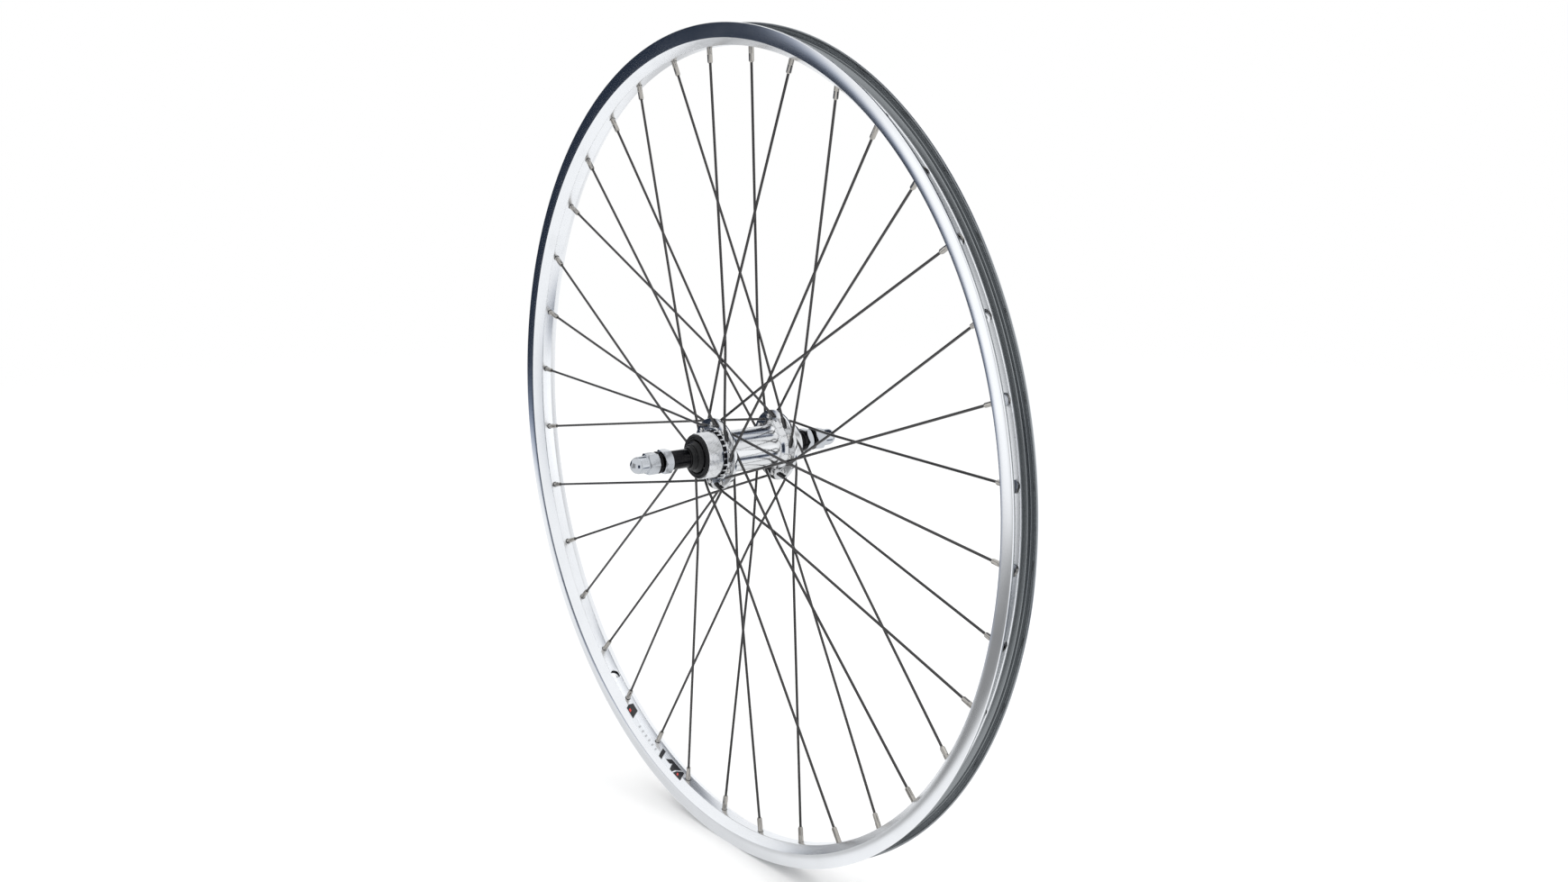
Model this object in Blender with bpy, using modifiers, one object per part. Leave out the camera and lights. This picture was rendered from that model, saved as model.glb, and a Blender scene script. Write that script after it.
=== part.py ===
"""Rear bicycle wheel, 700C: double-wall rim, 36 crossed spokes, cup-and-cone hub for a threaded freewheel.

Frame: metres, wheel centre at the origin, axle along Y, +Z up. The freewheel (drive) side is at -Y.
"""

import math

import bmesh
import bpy
from mathutils import Matrix, Vector

# ---- driving dimensions -------------------------------------------------------------------------

CLEARANCE = 0.0003              # gap left between neighbouring pieces
CUTTER_REACH = 0.001            # how far a cutter runs past the faces that it cuts

# Rim, a 622 mm bead seat with a box section under the tyre channel
BEAD_SEAT_RADIUS = 0.311
FLANGE_HEIGHT = 0.0055          # bead seat to the top of the hooked lip
RIM_WIDTH = 0.022
BRAKE_TRACK_HEIGHT = 0.011
SPOKE_BED_WIDTH = 0.0084
RIM_WALL = 0.0016
CHANNEL_DEPTH = 0.004           # bead seat to the channel's floor
BOX_HEIGHT = 0.0036             # clear height inside the box section, at its middle
CHANNEL_FLOOR_WIDTH = 0.009
BEAD_SHELF_WIDTH = 0.0028
HOOK_OVERHANG = 0.0006
ACCESS_HOLE_RADIUS = 0.0045
VALVE_HOLE_RADIUS = 0.00425
SLEEVE_CLEARANCE = 0.0008       # leaves room for the flats of both faceted arcs

# Spokes
SPOKE_COUNT = 36
CROSSES = 3
FIRST_SPOKE_ANGLE = math.radians(-6.0)
SPOKE_RADIUS = 0.001
SPOKE_STAGGER = 0.0005          # nipple holes alternate this far each side of the centre line
SPOKE_HEAD_RIM = 0.0009         # the head's edge beyond the shaft
SPOKE_HEAD_LENGTH = 0.0010
NIPPLE_LENGTH = 0.0115          # below the spoke bed
NIPPLE_TIP_WALL = 0.0007
NIPPLE_BODY_WALL = 0.00095
NIPPLE_HEAD_RIM = 0.00095       # the head's edge beyond the body
NIPPLE_HEAD_LENGTH = 0.0026

# Hub. Lengths along the axle start at the locknuts' outer faces, where the frame clamps the wheel.
OVER_LOCKNUTS = 0.135
DRIVE_FLANGE_SETBACK = 0.0472   # locknut face to the flange's outer face
OTHER_FLANGE_SETBACK = 0.0297
HOLE_CIRCLE_RADIUS = 0.0225
FLANGE_EDGE = 0.00475           # hole circle to the flange's edge
FLANGE_THICKNESS = 0.003
FLANGE_CHAMFER = 0.0005
HEAD_ROOM = 0.0002              # between the spoke heads and the step beside the flange
BARREL_RADIUS = 0.016
FLARE_SETBACK = 0.0027          # hole circle to the barrel's flared ends
FLARE_LENGTH = 0.010
CUP_SEAT = 0.001525             # the step that the pressed-in cup rests on
FREEWHEEL_BOSS_RADIUS = 0.0174  # 1.37 inch thread
FREEWHEEL_BOSS_LENGTH = 0.0118
FREEWHEEL_STOP = 0.0029         # flange's face to the ring that the freewheel screws up to
FREEWHEEL_STOP_WIDTH = 0.0016
FLANGE_STEP = 0.0017            # height of the step beside the flange
HOUSING_LENGTH = 0.0142         # the bearing housing outwards of the other side's flange
HOUSING_WALL = 0.000875
HOUSING_TAPER = 0.0035

# Bearings: caged quarter-inch balls
BALL_RADIUS = 0.003175
BALL_COUNT = 7
BALLS_SETBACK = 0.006           # the hub's mouths to the balls' centres
RACE_CONFORMITY = 1.0787        # the grooves' radius for each unit of the balls'
CAGE_HALF_WIDTH = 0.0006
CUP_WALL = 0.0006
CUP_BACK = 0.0011
CUP_RIM = 0.0032                # how far the cup reaches outwards of the balls' centres
CONE_WALL = 0.000675            # under the race
CONE_NOSE = 0.0015

# Axle and what is on it. Walls are measured outwards from the thread.
AXLE_RADIUS = 0.0049            # M10 x 1
AXLE_PROTRUSION = 0.0155        # past the locknut's face
AXLE_CHAMFER = 0.0008
CONE_BODY_WALL_DRIVE = 0.0021
CONE_BODY_WALL_OTHER = 0.0036
CONE_LENGTH_DRIVE = 0.016       # from the balls' centres
CONE_LENGTH_OTHER = 0.0125
DUST_CAP_SETBACK = 0.0006       # inside the freewheel boss's edge
DUST_CAP_THICKNESS = 0.0017
DUST_CAP_LIP = 0.0010
SEAL_RADIUS = 0.0120
SEAL_LIP = 0.0014
SEAL_LENGTH = 0.0078
SEAL_SETBACK = 0.001            # from the cone's end
SEAL_GAP = 0.0004               # round the seal, in the dust cap's bore
SPACER_WALL_DRIVE = 0.00195
SPACER_WALL_OTHER = 0.0034
LOCKNUT_ACROSS_FLATS = 0.017
LOCKNUT_THICKNESS_DRIVE = 0.007
LOCKNUT_THICKNESS_OTHER = 0.0051
DROPOUT_GAP = 0.0021            # left open between locknut and washer, for the frame's end
WASHER_RADIUS = 0.0083
WASHER_THICKNESS = 0.0016
NUT_ACROSS_FLATS = 0.015
NUT_HEX_LENGTH = 0.009
NUT_LENGTH = 0.0213
NUT_BORE_DEPTH = 0.015
NUT_DOME_WALL = 0.0012
NUT_CHAMFER = 0.0009

# How finely round pieces are cut into facets
RIM_STEPS = 72
HUB_STEPS = 24
BEARING_STEPS = 20
AXLE_STEPS = 16
ARC_STEPS = 3
DRILL_STEPS = 8

# ---- sizes that follow --------------------------------------------------------------------------

RIM_RADIUS = BEAD_SEAT_RADIUS + FLANGE_HEIGHT
CHANNEL_FLOOR_RADIUS = BEAD_SEAT_RADIUS - CHANNEL_DEPTH
NIPPLE_SEAT_RADIUS = CHANNEL_FLOOR_RADIUS - RIM_WALL - BOX_HEIGHT
BED_RADIUS = NIPPLE_SEAT_RADIUS - RIM_WALL
SPOKES_A_SIDE = SPOKE_COUNT // 2
SPOKE_PITCH_ANGLE = 2 * math.pi / SPOKE_COUNT
HOLE_PITCH_ANGLE = 2 * math.pi / SPOKES_A_SIDE
LACING_ANGLE = CROSSES * HOLE_PITCH_ANGLE
VALVE_ANGLE = FIRST_SPOKE_ANGLE - 13.5 * SPOKE_PITCH_ANGLE
SHAFT_OFFSET = SPOKE_RADIUS + CLEARANCE
CROSSING_SPACING = 2 * SPOKE_RADIUS + CLEARANCE
SPOKE_HEAD_RADIUS = SPOKE_RADIUS + SPOKE_HEAD_RIM
NIPPLE_TIP_RADIUS = SPOKE_RADIUS + NIPPLE_TIP_WALL
NIPPLE_BODY_RADIUS = SPOKE_RADIUS + NIPPLE_BODY_WALL
NIPPLE_HEAD_RADIUS = NIPPLE_BODY_RADIUS + NIPPLE_HEAD_RIM
NIPPLE_HOLE_RADIUS = NIPPLE_BODY_RADIUS + 1.3 * CLEARANCE
FLANGE_HOLE_RADIUS = SPOKE_RADIUS + CLEARANCE

# radii, from the axle outwards
AXLE_BORE_RADIUS = AXLE_RADIUS + CLEARANCE
CONE_BODY_RADIUS_DRIVE = AXLE_BORE_RADIUS + CONE_BODY_WALL_DRIVE
CONE_BODY_RADIUS_OTHER = AXLE_BORE_RADIUS + CONE_BODY_WALL_OTHER
SPACER_RADIUS_DRIVE = AXLE_BORE_RADIUS + SPACER_WALL_DRIVE
SPACER_RADIUS_OTHER = AXLE_BORE_RADIUS + SPACER_WALL_OTHER
NUT_DOME_RADIUS = AXLE_BORE_RADIUS + NUT_DOME_WALL
RACE_RADIUS = BALL_RADIUS * RACE_CONFORMITY
BALL_CIRCLE_RADIUS = AXLE_BORE_RADIUS + CONE_WALL + RACE_RADIUS
CUP_RADIUS = BALL_CIRCLE_RADIUS + RACE_RADIUS + CUP_WALL
CUP_BORE_RADIUS = CUP_RADIUS + CLEARANCE
SHELL_BORE_RADIUS = CUP_RADIUS - CUP_SEAT
HOUSING_END_RADIUS = CUP_BORE_RADIUS + HOUSING_WALL
HOUSING_ROOT_RADIUS = HOUSING_END_RADIUS + HOUSING_TAPER
FREEWHEEL_STOP_RADIUS = FREEWHEEL_BOSS_RADIUS + FREEWHEEL_STOP_WIDTH
DUST_CAP_RADIUS_DRIVE = FREEWHEEL_BOSS_RADIUS - DUST_CAP_SETBACK
DUST_CAP_RADIUS_OTHER = HOUSING_END_RADIUS - CLEARANCE
DUST_CAP_BORE_DRIVE = SEAL_RADIUS + SEAL_GAP
FLANGE_RADIUS = HOLE_CIRCLE_RADIUS + FLANGE_EDGE
FLANGE_STEP_RADIUS = HOLE_CIRCLE_RADIUS - SPOKE_HEAD_RADIUS - HEAD_ROOM
BARREL_FLARE_RADIUS = HOLE_CIRCLE_RADIUS - FLARE_SETBACK

# distances outwards from the wheel's centre plane
LOCKNUT_OUTER = OVER_LOCKNUTS / 2
DRIVE_FLANGE_OUTER = LOCKNUT_OUTER - DRIVE_FLANGE_SETBACK
OTHER_FLANGE_OUTER = LOCKNUT_OUTER - OTHER_FLANGE_SETBACK
FREEWHEEL_STOP_FACE = DRIVE_FLANGE_OUTER + FREEWHEEL_STOP
FREEWHEEL_BOSS_END = FREEWHEEL_STOP_FACE + FREEWHEEL_BOSS_LENGTH
HOUSING_END = OTHER_FLANGE_OUTER + HOUSING_LENGTH
DRIVE_BALLS = FREEWHEEL_BOSS_END - BALLS_SETBACK
OTHER_BALLS = HOUSING_END - BALLS_SETBACK
CONE_END_DRIVE = DRIVE_BALLS + CONE_LENGTH_DRIVE
CONE_END_OTHER = OTHER_BALLS + CONE_LENGTH_OTHER
SEAL_END = CONE_END_DRIVE - SEAL_SETBACK
SEAL_START = SEAL_END - SEAL_LENGTH
WASHER_START = LOCKNUT_OUTER + DROPOUT_GAP
NUT_START = WASHER_START + WASHER_THICKNESS + CLEARANCE
NUT_TIP = NUT_START + NUT_LENGTH
NUT_BORE_END = NUT_START + NUT_BORE_DEPTH
AXLE_END = LOCKNUT_OUTER + AXLE_PROTRUSION
DRIVE, OTHER = -1, 1            # which way along Y each side lies


# ---- making shapes ------------------------------------------------------------------------------

def make_collections():
    """An empty file with one collection for the wheel and one for the cutters."""
    for old in list(bpy.data.objects):
        bpy.data.objects.remove(old, do_unlink=True)
    wheel = bpy.data.collections.new("rear_wheel")
    cutters = bpy.data.collections.new("cutters")
    for collection in (wheel, cutters):
        bpy.context.scene.collection.children.link(collection)
    return wheel, cutters


WHEEL, CUTTERS = make_collections()

# The lathe turns about Z, and the wheel's axle lies along Y
AXLE_TURN = Matrix.Rotation(-math.pi / 2, 4, "X")


def material(name, colour, metallic, roughness):
    made = bpy.data.materials.new(name)
    made.use_nodes = True
    shader = made.node_tree.nodes["Principled BSDF"]
    shader.inputs["Base Color"].default_value = (*colour, 1)
    shader.inputs["Metallic"].default_value = metallic
    shader.inputs["Roughness"].default_value = roughness
    made.diffuse_color = (*colour, 1)
    return made


RIM_ALLOY = material("rim_alloy", (0.80, 0.81, 0.83), 1.0, 0.32)
HUB_ALLOY = material("hub_alloy", (0.78, 0.79, 0.80), 1.0, 0.18)
STAINLESS = material("stainless", (0.56, 0.56, 0.58), 1.0, 0.25)
ZINC_STEEL = material("zinc_steel", (0.72, 0.73, 0.74), 1.0, 0.28)
BLACK_STEEL = material("black_steel", (0.03, 0.03, 0.035), 0.8, 0.35)
BEARING_STEEL = material("bearing_steel", (0.65, 0.65, 0.66), 1.0, 0.12)
BLACK_PLASTIC = material("black_plastic", (0.02, 0.02, 0.02), 0.0, 0.45)
BLACK_RUBBER = material("black_rubber", (0.025, 0.025, 0.025), 0.0, 0.7)


def place(name, data, finish=None, turn=None, collection=WHEEL):
    """An object from a mesh or curve. Cutters have no finish and stay out of the model."""
    made = bpy.data.objects.new(name, data)
    collection.objects.link(made)
    if turn:
        made.matrix_world = turn
    if finish:
        data.materials.append(finish)
    else:
        made.hide_render = True
        made.display_type = "WIRE"
    return made


def mesh_from(bm, name):
    mesh = bpy.data.meshes.new(name)
    bm.to_mesh(mesh)
    bm.free()
    return mesh


def lathe(name, profile, steps, finish=None, start=0.0, turn=AXLE_TURN, collection=WHEEL):
    """Turn a list of (radius, distance along the axle) about the axle.

    A profile whose ends are on the axle is a solid bar, and any other is closed into a ring.
    """
    solid = profile[0][0] == 0 and profile[-1][0] == 0
    pairs = list(zip(profile, profile[1:] + profile[:1]))
    area = sum(r0 * s1 - r1 * s0 for (r0, s0), (r1, s1) in pairs)
    if area > 0:                # the outer side has to run from top to bottom
        profile = profile[::-1]
    bm = bmesh.new()
    points = [bm.verts.new((r * math.cos(start), r * math.sin(start), s)) for r, s in profile]
    for first, second in zip(points, points[1:]):
        bm.edges.new((first, second))
    if not solid:
        bm.edges.new((points[-1], points[0]))
    made = place(name, mesh_from(bm, name), finish, turn, collection)
    screw = made.modifiers.new("turned", "SCREW")
    screw.steps = screw.render_steps = steps
    screw.use_merge_vertices = True
    screw.merge_threshold = 0.00001
    screw.use_smooth_shade = False
    return made


def boolean(target, cutter, operation="DIFFERENCE"):
    cut = target.modifiers.new(cutter.name, "BOOLEAN")
    cut.operation = operation
    cut.solver = "EXACT"
    cut.object = cutter


def cutter(name, profile, steps, start=0.0):
    return lathe(name, profile, steps, start=start, collection=CUTTERS)


def drills(name, profile, steps, frames):
    """One mesh of separate drills, the profile turned about Z in each of the given frames."""
    drill = lathe(name + "_one", profile, steps, turn=Matrix(), collection=CUTTERS)
    evaluated = drill.evaluated_get(bpy.context.evaluated_depsgraph_get())
    single = bpy.data.meshes.new_from_object(evaluated)
    bpy.data.objects.remove(drill)
    bm = bmesh.new()
    for frame in frames:
        fresh = len(bm.verts)
        bm.from_mesh(single)
        bm.verts.ensure_lookup_table()
        bmesh.ops.transform(bm, matrix=frame, verts=bm.verts[fresh:])
    return place(name, mesh_from(bm, name), collection=CUTTERS)


def arc(centre, radius, first, last, steps=ARC_STEPS):
    """Points on an arc in a profile, from the first to the last angle in degrees."""
    angles = [math.radians(first + (last - first) * i / steps) for i in range(steps + 1)]
    return [(centre[0] + radius * math.cos(a), centre[1] + radius * math.sin(a)) for a in angles]


def outwards(side, profile):
    """A profile whose distances run outwards from the centre plane, set on its side of the hub."""
    return [(radius, side * distance) for radius, distance in profile]


def polar(radius, angle, y=0.0):
    """A point at an angle from +Z towards +X about the axle."""
    return Vector((radius * math.sin(angle), y, radius * math.cos(angle)))


def hex_cutter(name, across_flats, near, far, side):
    """A ring with a hexagonal hole, which leaves six flats on what it cuts."""
    corner = across_flats / 2 / math.cos(math.pi / 6)
    return cutter(name, outwards(side, [
        (corner, near), (3 * corner, near), (3 * corner, far), (corner, far)]), 6)


# ---- rim ----------------------------------------------------------------------------------------

def mirrored(half):
    """A closed section from its half at positive Y."""
    return half + [(radius, -s) for radius, s in reversed(half)]


def rim_section():
    side = RIM_WIDTH / 2
    lip = side - RIM_WALL
    return mirrored([
        (BED_RADIUS, SPOKE_BED_WIDTH / 2),
        (RIM_RADIUS - BRAKE_TRACK_HEIGHT, side),
        (RIM_RADIUS, side),
        (RIM_RADIUS, lip - HOOK_OVERHANG),
        (RIM_RADIUS - 2 * RIM_WALL, lip),
        (BEAD_SEAT_RADIUS, lip),
        (BEAD_SEAT_RADIUS, lip - BEAD_SHELF_WIDTH),
        (CHANNEL_FLOOR_RADIUS, CHANNEL_FLOOR_WIDTH / 2),
    ])


def hollow_section():
    """The closed box under the tyre channel."""
    side = RIM_WIDTH / 2 - RIM_WALL
    return mirrored([
        (NIPPLE_SEAT_RADIUS, (SPOKE_BED_WIDTH - RIM_WALL) / 2),
        (RIM_RADIUS - BRAKE_TRACK_HEIGHT + RIM_WALL / 2, side),
        (BEAD_SEAT_RADIUS - RIM_WALL, side),
        (CHANNEL_FLOOR_RADIUS - RIM_WALL, (CHANNEL_FLOOR_WIDTH + RIM_WALL) / 2),
    ])


def shrunk(section, inset):
    """A closed section, listed clockwise, with each of its sides moved in by the inset."""
    points = [Vector(p) for p in section]
    moved = []
    for before, here, after in zip(points[-1:] + points, points, points[1:] + points[:1]):
        first, second = (here - before).normalized(), (after - here).normalized()
        inward = Vector((first.y + second.y, -first.x - second.x)) / (1 + first.dot(second))
        moved.append(tuple(here + inset * inward))
    return moved


def nipple_frame(spoke):
    """A frame at the nipple's seat, its Z along the nipple and away from the hub."""
    axis = (spoke.seat - spoke.crossing).normalized()
    return Matrix.Translation(spoke.seat) @ axis.to_track_quat("Z", "X").to_matrix().to_4x4()


def make_rim(spokes):
    # facets are centred on the spoke holes, so that each hole lies within flat faces
    start = FIRST_SPOKE_ANGLE - math.pi / 2 + math.pi / RIM_STEPS
    rim = lathe("rim", rim_section(), RIM_STEPS, RIM_ALLOY, start)
    boolean(rim, cutter("rim_hollow", hollow_section(), RIM_STEPS, start))
    reach = NIPPLE_SEAT_RADIUS - BED_RADIUS + CLEARANCE * 10
    step = (CHANNEL_FLOOR_RADIUS - RIM_WALL - NIPPLE_SEAT_RADIUS) / 2
    far = step + 3 * RIM_WALL
    stepped = [(0, -reach), (NIPPLE_HOLE_RADIUS, -reach), (NIPPLE_HOLE_RADIUS, step),
               (ACCESS_HOLE_RADIUS, step), (ACCESS_HOLE_RADIUS, far), (0, far)]
    boolean(rim, drills("spoke_drills", stepped, DRILL_STEPS, [nipple_frame(s) for s in spokes]))
    through = RIM_RADIUS - BED_RADIUS
    straight = [(0, -reach), (VALVE_HOLE_RADIUS, -reach), (VALVE_HOLE_RADIUS, through), (0, through)]
    outward = polar(1, VALVE_ANGLE).to_track_quat("Z", "X").to_matrix().to_4x4()
    valve = Matrix.Translation(polar(NIPPLE_SEAT_RADIUS, VALVE_ANGLE)) @ outward
    boolean(rim, drills("valve_drill", straight, 2 * DRILL_STEPS, [valve]))


def make_rim_sleeve():
    """The plug inside the box section where the rolled extrusion's ends meet, opposite the valve."""
    half_angle = 0.39 * SPOKE_PITCH_ANGLE
    middle = VALVE_ANGLE + math.pi
    bm = bmesh.new()
    section = shrunk(hollow_section(), SLEEVE_CLEARANCE)
    points = [polar(r, middle - half_angle, s) for r, s in section]
    face = bm.faces.new([bm.verts.new(p) for p in points])
    bmesh.ops.spin(bm, geom=[*bm.verts, *bm.edges, face], cent=(0, 0, 0), axis=(0, 1, 0),
                   angle=2 * half_angle, steps=2)
    bmesh.ops.recalc_face_normals(bm, faces=bm.faces)
    place("rim_sleeve", mesh_from(bm, "rim_sleeve"), RIM_ALLOY)


# ---- spokes -------------------------------------------------------------------------------------

class Spoke:
    """The places that one spoke runs through, from its flange hole to its nipple."""

    def __init__(self, index):
        self.side = DRIVE if index % 2 == 0 else OTHER
        self.number = index // 2
        self.angle = FIRST_SPOKE_ANGLE - index * SPOKE_PITCH_ANGLE
        self.lean = 1 if self.number % 2 == 0 else -1
        # a spoke that leans forward runs along the flange's -Y face and the others along its +Y face
        self.face = -self.lean
        outer = DRIVE_FLANGE_OUTER if self.side == DRIVE else OTHER_FLANGE_OUTER
        self.flange_middle = self.side * (outer - FLANGE_THICKNESS / 2)
        self.hole_angle = self.angle + self.lean * LACING_ANGLE
        self.seat_y = self.side * SPOKE_STAGGER
        self.hole = polar(HOLE_CIRCLE_RADIUS, self.hole_angle)
        self.seat = polar(NIPPLE_SEAT_RADIUS, self.angle, self.seat_y)
        self.crossing = self.last_crossing()

    def shaft_y(self, face):
        return self.flange_middle + face * (FLANGE_THICKNESS / 2 + SHAFT_OFFSET)

    def along_shaft(self, share, y):
        """A point a share of the way from the flange hole to the nipple, at the given Y."""
        flat = self.hole.lerp(polar(NIPPLE_SEAT_RADIUS, self.angle), share)
        return Vector((flat.x, y, flat.z))

    def last_crossing(self):
        """Where it passes on the inside of a spoke from the other face, or that one inside it."""
        beta = HOLE_PITCH_ANGLE / 2
        rim_part = NIPPLE_SEAT_RADIUS * math.sin(beta)
        hub_part = HOLE_CIRCLE_RADIUS * math.sin(LACING_ANGLE - beta)
        share = hub_part / (rim_part + hub_part)
        straight = [self.shaft_y(face) * (1 - share) + self.seat_y * share for face in (-1, 1)]
        y = sum(straight) / 2 - self.face * CROSSING_SPACING / 2
        return self.along_shaft(share, y)

    def leaves_flange(self):
        """Where its shaft is clear of the flange's edge."""
        length = (polar(NIPPLE_SEAT_RADIUS, self.angle) - self.hole).length
        past_edge = math.sqrt((FLANGE_RADIUS + 2 * SPOKE_RADIUS)**2 - HOLE_CIRCLE_RADIUS**2 * 0.75)
        run = past_edge - HOLE_CIRCLE_RADIUS * 0.5
        return self.along_shaft(run / length, self.shaft_y(self.face))


def spoke_points(spoke):
    """Centre-line points and radii from the spoke's head to the nipple's head."""
    out = Vector((0, spoke.face, 0))
    shaft_start = Vector((spoke.hole.x, spoke.shaft_y(spoke.face), spoke.hole.z))
    along = (spoke.leaves_flange() - shaft_start).normalized()
    near_face = spoke.hole + Vector((0, spoke.flange_middle, 0)) + out * FLANGE_THICKNESS / 2
    far_face = near_face - out * FLANGE_THICKNESS
    under_head = far_face - out * CLEARANCE
    points = [
        (under_head - out * (SPOKE_HEAD_LENGTH + CLEARANCE), SPOKE_HEAD_RADIUS * 0.9),
        (under_head - out * CLEARANCE, SPOKE_HEAD_RADIUS),
        (under_head, SPOKE_RADIUS),
    ]
    for turned in (0, 45, 90):      # the elbow, about the corner of the flange hole
        a = math.radians(turned)
        bend = (1 - math.cos(a)) * along + math.sin(a) * out
        points.append((near_face + SHAFT_OFFSET * bend, SPOKE_RADIUS))
    points.append((spoke.leaves_flange(), SPOKE_RADIUS))
    points.append((spoke.crossing, SPOKE_RADIUS))
    axis = (spoke.seat - spoke.crossing).normalized()
    tip = spoke.seat - axis * (RIM_WALL + NIPPLE_LENGTH)
    head = spoke.seat + axis * CLEARANCE
    points += [
        (tip - axis * SPOKE_RADIUS / 4, SPOKE_RADIUS),
        (tip, NIPPLE_TIP_RADIUS),
        (head, NIPPLE_BODY_RADIUS),
        (head + axis * SPOKE_RADIUS / 4, NIPPLE_HEAD_RADIUS),
        (head + axis * NIPPLE_HEAD_LENGTH, NIPPLE_HEAD_RADIUS * 0.8),
    ]
    return points


def make_spoke(spoke):
    """A spoke screwed into its nipple: elbow, head, shaft and nipple in one closed body."""
    points = spoke_points(spoke)
    name = f"spoke_{'drive' if spoke.side == DRIVE else 'other'}_{spoke.number + 1:02d}"
    curve = bpy.data.curves.new(name, "CURVE")
    curve.dimensions = "3D"
    curve.bevel_depth = SPOKE_RADIUS
    curve.bevel_resolution = 1
    curve.use_fill_caps = True
    spline = curve.splines.new("POLY")
    spline.points.add(len(points) - 1)
    for made, (place_at, radius) in zip(spline.points, points):
        made.co = (*place_at, 1)
        made.radius = radius / SPOKE_RADIUS
    place(name, curve, STAINLESS)


# ---- hub shell ----------------------------------------------------------------------------------

def shell_profile():
    """Outer side from the freewheel boss to the other side's housing, then the stepped bore."""
    d_in = DRIVE_FLANGE_OUTER - FLANGE_THICKNESS
    o_in = OTHER_FLANGE_OUTER - FLANGE_THICKNESS
    edge = FLANGE_RADIUS - FLANGE_CHAMFER
    flare = BARREL_FLARE_RADIUS
    drive = outwards(DRIVE, [
        (FREEWHEEL_BOSS_RADIUS - FLANGE_CHAMFER, FREEWHEEL_BOSS_END),
        (FREEWHEEL_BOSS_RADIUS, FREEWHEEL_BOSS_END - FLANGE_CHAMFER),
        (FREEWHEEL_BOSS_RADIUS, FREEWHEEL_STOP_FACE),
        (FREEWHEEL_STOP_RADIUS, FREEWHEEL_STOP_FACE),
        (FREEWHEEL_STOP_RADIUS, DRIVE_FLANGE_OUTER + FLANGE_STEP),
        (FLANGE_STEP_RADIUS, DRIVE_FLANGE_OUTER + FLANGE_STEP),
        (FLANGE_STEP_RADIUS, DRIVE_FLANGE_OUTER),
        (edge, DRIVE_FLANGE_OUTER), (FLANGE_RADIUS, DRIVE_FLANGE_OUTER - FLANGE_CHAMFER),
        (FLANGE_RADIUS, d_in + FLANGE_CHAMFER), (edge, d_in),
        (flare, d_in),
        (BARREL_RADIUS + (flare - BARREL_RADIUS) * 0.3, d_in - FLARE_LENGTH * 0.3),
        (BARREL_RADIUS, d_in - FLARE_LENGTH),
    ])
    other = outwards(OTHER, [
        (BARREL_RADIUS, o_in - FLARE_LENGTH),
        (BARREL_RADIUS + (flare - BARREL_RADIUS) * 0.3, o_in - FLARE_LENGTH * 0.3),
        (flare, o_in),
        (edge, o_in), (FLANGE_RADIUS, o_in + FLANGE_CHAMFER),
        (FLANGE_RADIUS, OTHER_FLANGE_OUTER - FLANGE_CHAMFER), (edge, OTHER_FLANGE_OUTER),
        (HOUSING_ROOT_RADIUS + FLANGE_CHAMFER, OTHER_FLANGE_OUTER),
        (HOUSING_ROOT_RADIUS, OTHER_FLANGE_OUTER + FLANGE_CHAMFER),
        (HOUSING_END_RADIUS, HOUSING_END),
    ])
    cup_length = cup_back()
    bore = [
        (CUP_BORE_RADIUS, HOUSING_END),
        (CUP_BORE_RADIUS, OTHER_BALLS - cup_length - CLEARANCE),
        (SHELL_BORE_RADIUS, OTHER_BALLS - cup_length - CLEARANCE),
        (SHELL_BORE_RADIUS, -(DRIVE_BALLS - cup_length - CLEARANCE)),
        (CUP_BORE_RADIUS, -(DRIVE_BALLS - cup_length - CLEARANCE)),
        (CUP_BORE_RADIUS, -FREEWHEEL_BOSS_END),
    ]
    return drive + other + bore


def make_hub_shell(spokes):
    shell = lathe("hub_shell", shell_profile(), HUB_STEPS, HUB_ALLOY)
    reach = FLANGE_THICKNESS
    drill = [(0, -reach), (FLANGE_HOLE_RADIUS, -reach), (FLANGE_HOLE_RADIUS, reach), (0, reach)]
    frames = [Matrix.Translation(s.hole + Vector((0, s.flange_middle, 0))) @ AXLE_TURN for s in spokes]
    boolean(shell, drills("flange_drills", drill, DRILL_STEPS, frames))


# ---- bearings -----------------------------------------------------------------------------------

def cup_back():
    """How far the cup reaches inwards of the balls' centres."""
    return RACE_RADIUS + CUP_BACK


def make_bearing(side, balls, label):
    """A pressed-in cup and its caged balls, around the balls' centre plane."""
    race = arc((BALL_CIRCLE_RADIUS, balls), RACE_RADIUS, -90, 0)
    lip = BALL_CIRCLE_RADIUS - CAGE_HALF_WIDTH
    cup = [(CUP_RADIUS, balls + CUP_RIM), (CUP_RADIUS, balls - cup_back()), (lip, balls - cup_back()),
           (lip, balls - RACE_RADIUS), *race, (BALL_CIRCLE_RADIUS + RACE_RADIUS, balls + CUP_RIM)]
    lathe("bearing_cup_" + label, outwards(side, cup), BEARING_STEPS, BEARING_STEEL)

    cage = [(BALL_CIRCLE_RADIUS + u * CAGE_HALF_WIDTH, balls + v * CAGE_HALF_WIDTH)
            for u, v in ((1, 1), (1, -1), (-1, -1), (-1, 1))]
    retainer = lathe("ball_retainer_" + label, outwards(side, cage), BEARING_STEPS, BEARING_STEEL)
    bm = bmesh.new()
    for i in range(BALL_COUNT):
        centre = polar(BALL_CIRCLE_RADIUS, 2 * math.pi * i / BALL_COUNT, side * balls)
        bmesh.ops.create_uvsphere(bm, u_segments=8, v_segments=6, radius=BALL_RADIUS,
                                  matrix=Matrix.Translation(centre))
    spheres = place("balls_" + label, mesh_from(bm, "balls_" + label), collection=CUTTERS)
    boolean(retainer, spheres, "UNION")


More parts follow.
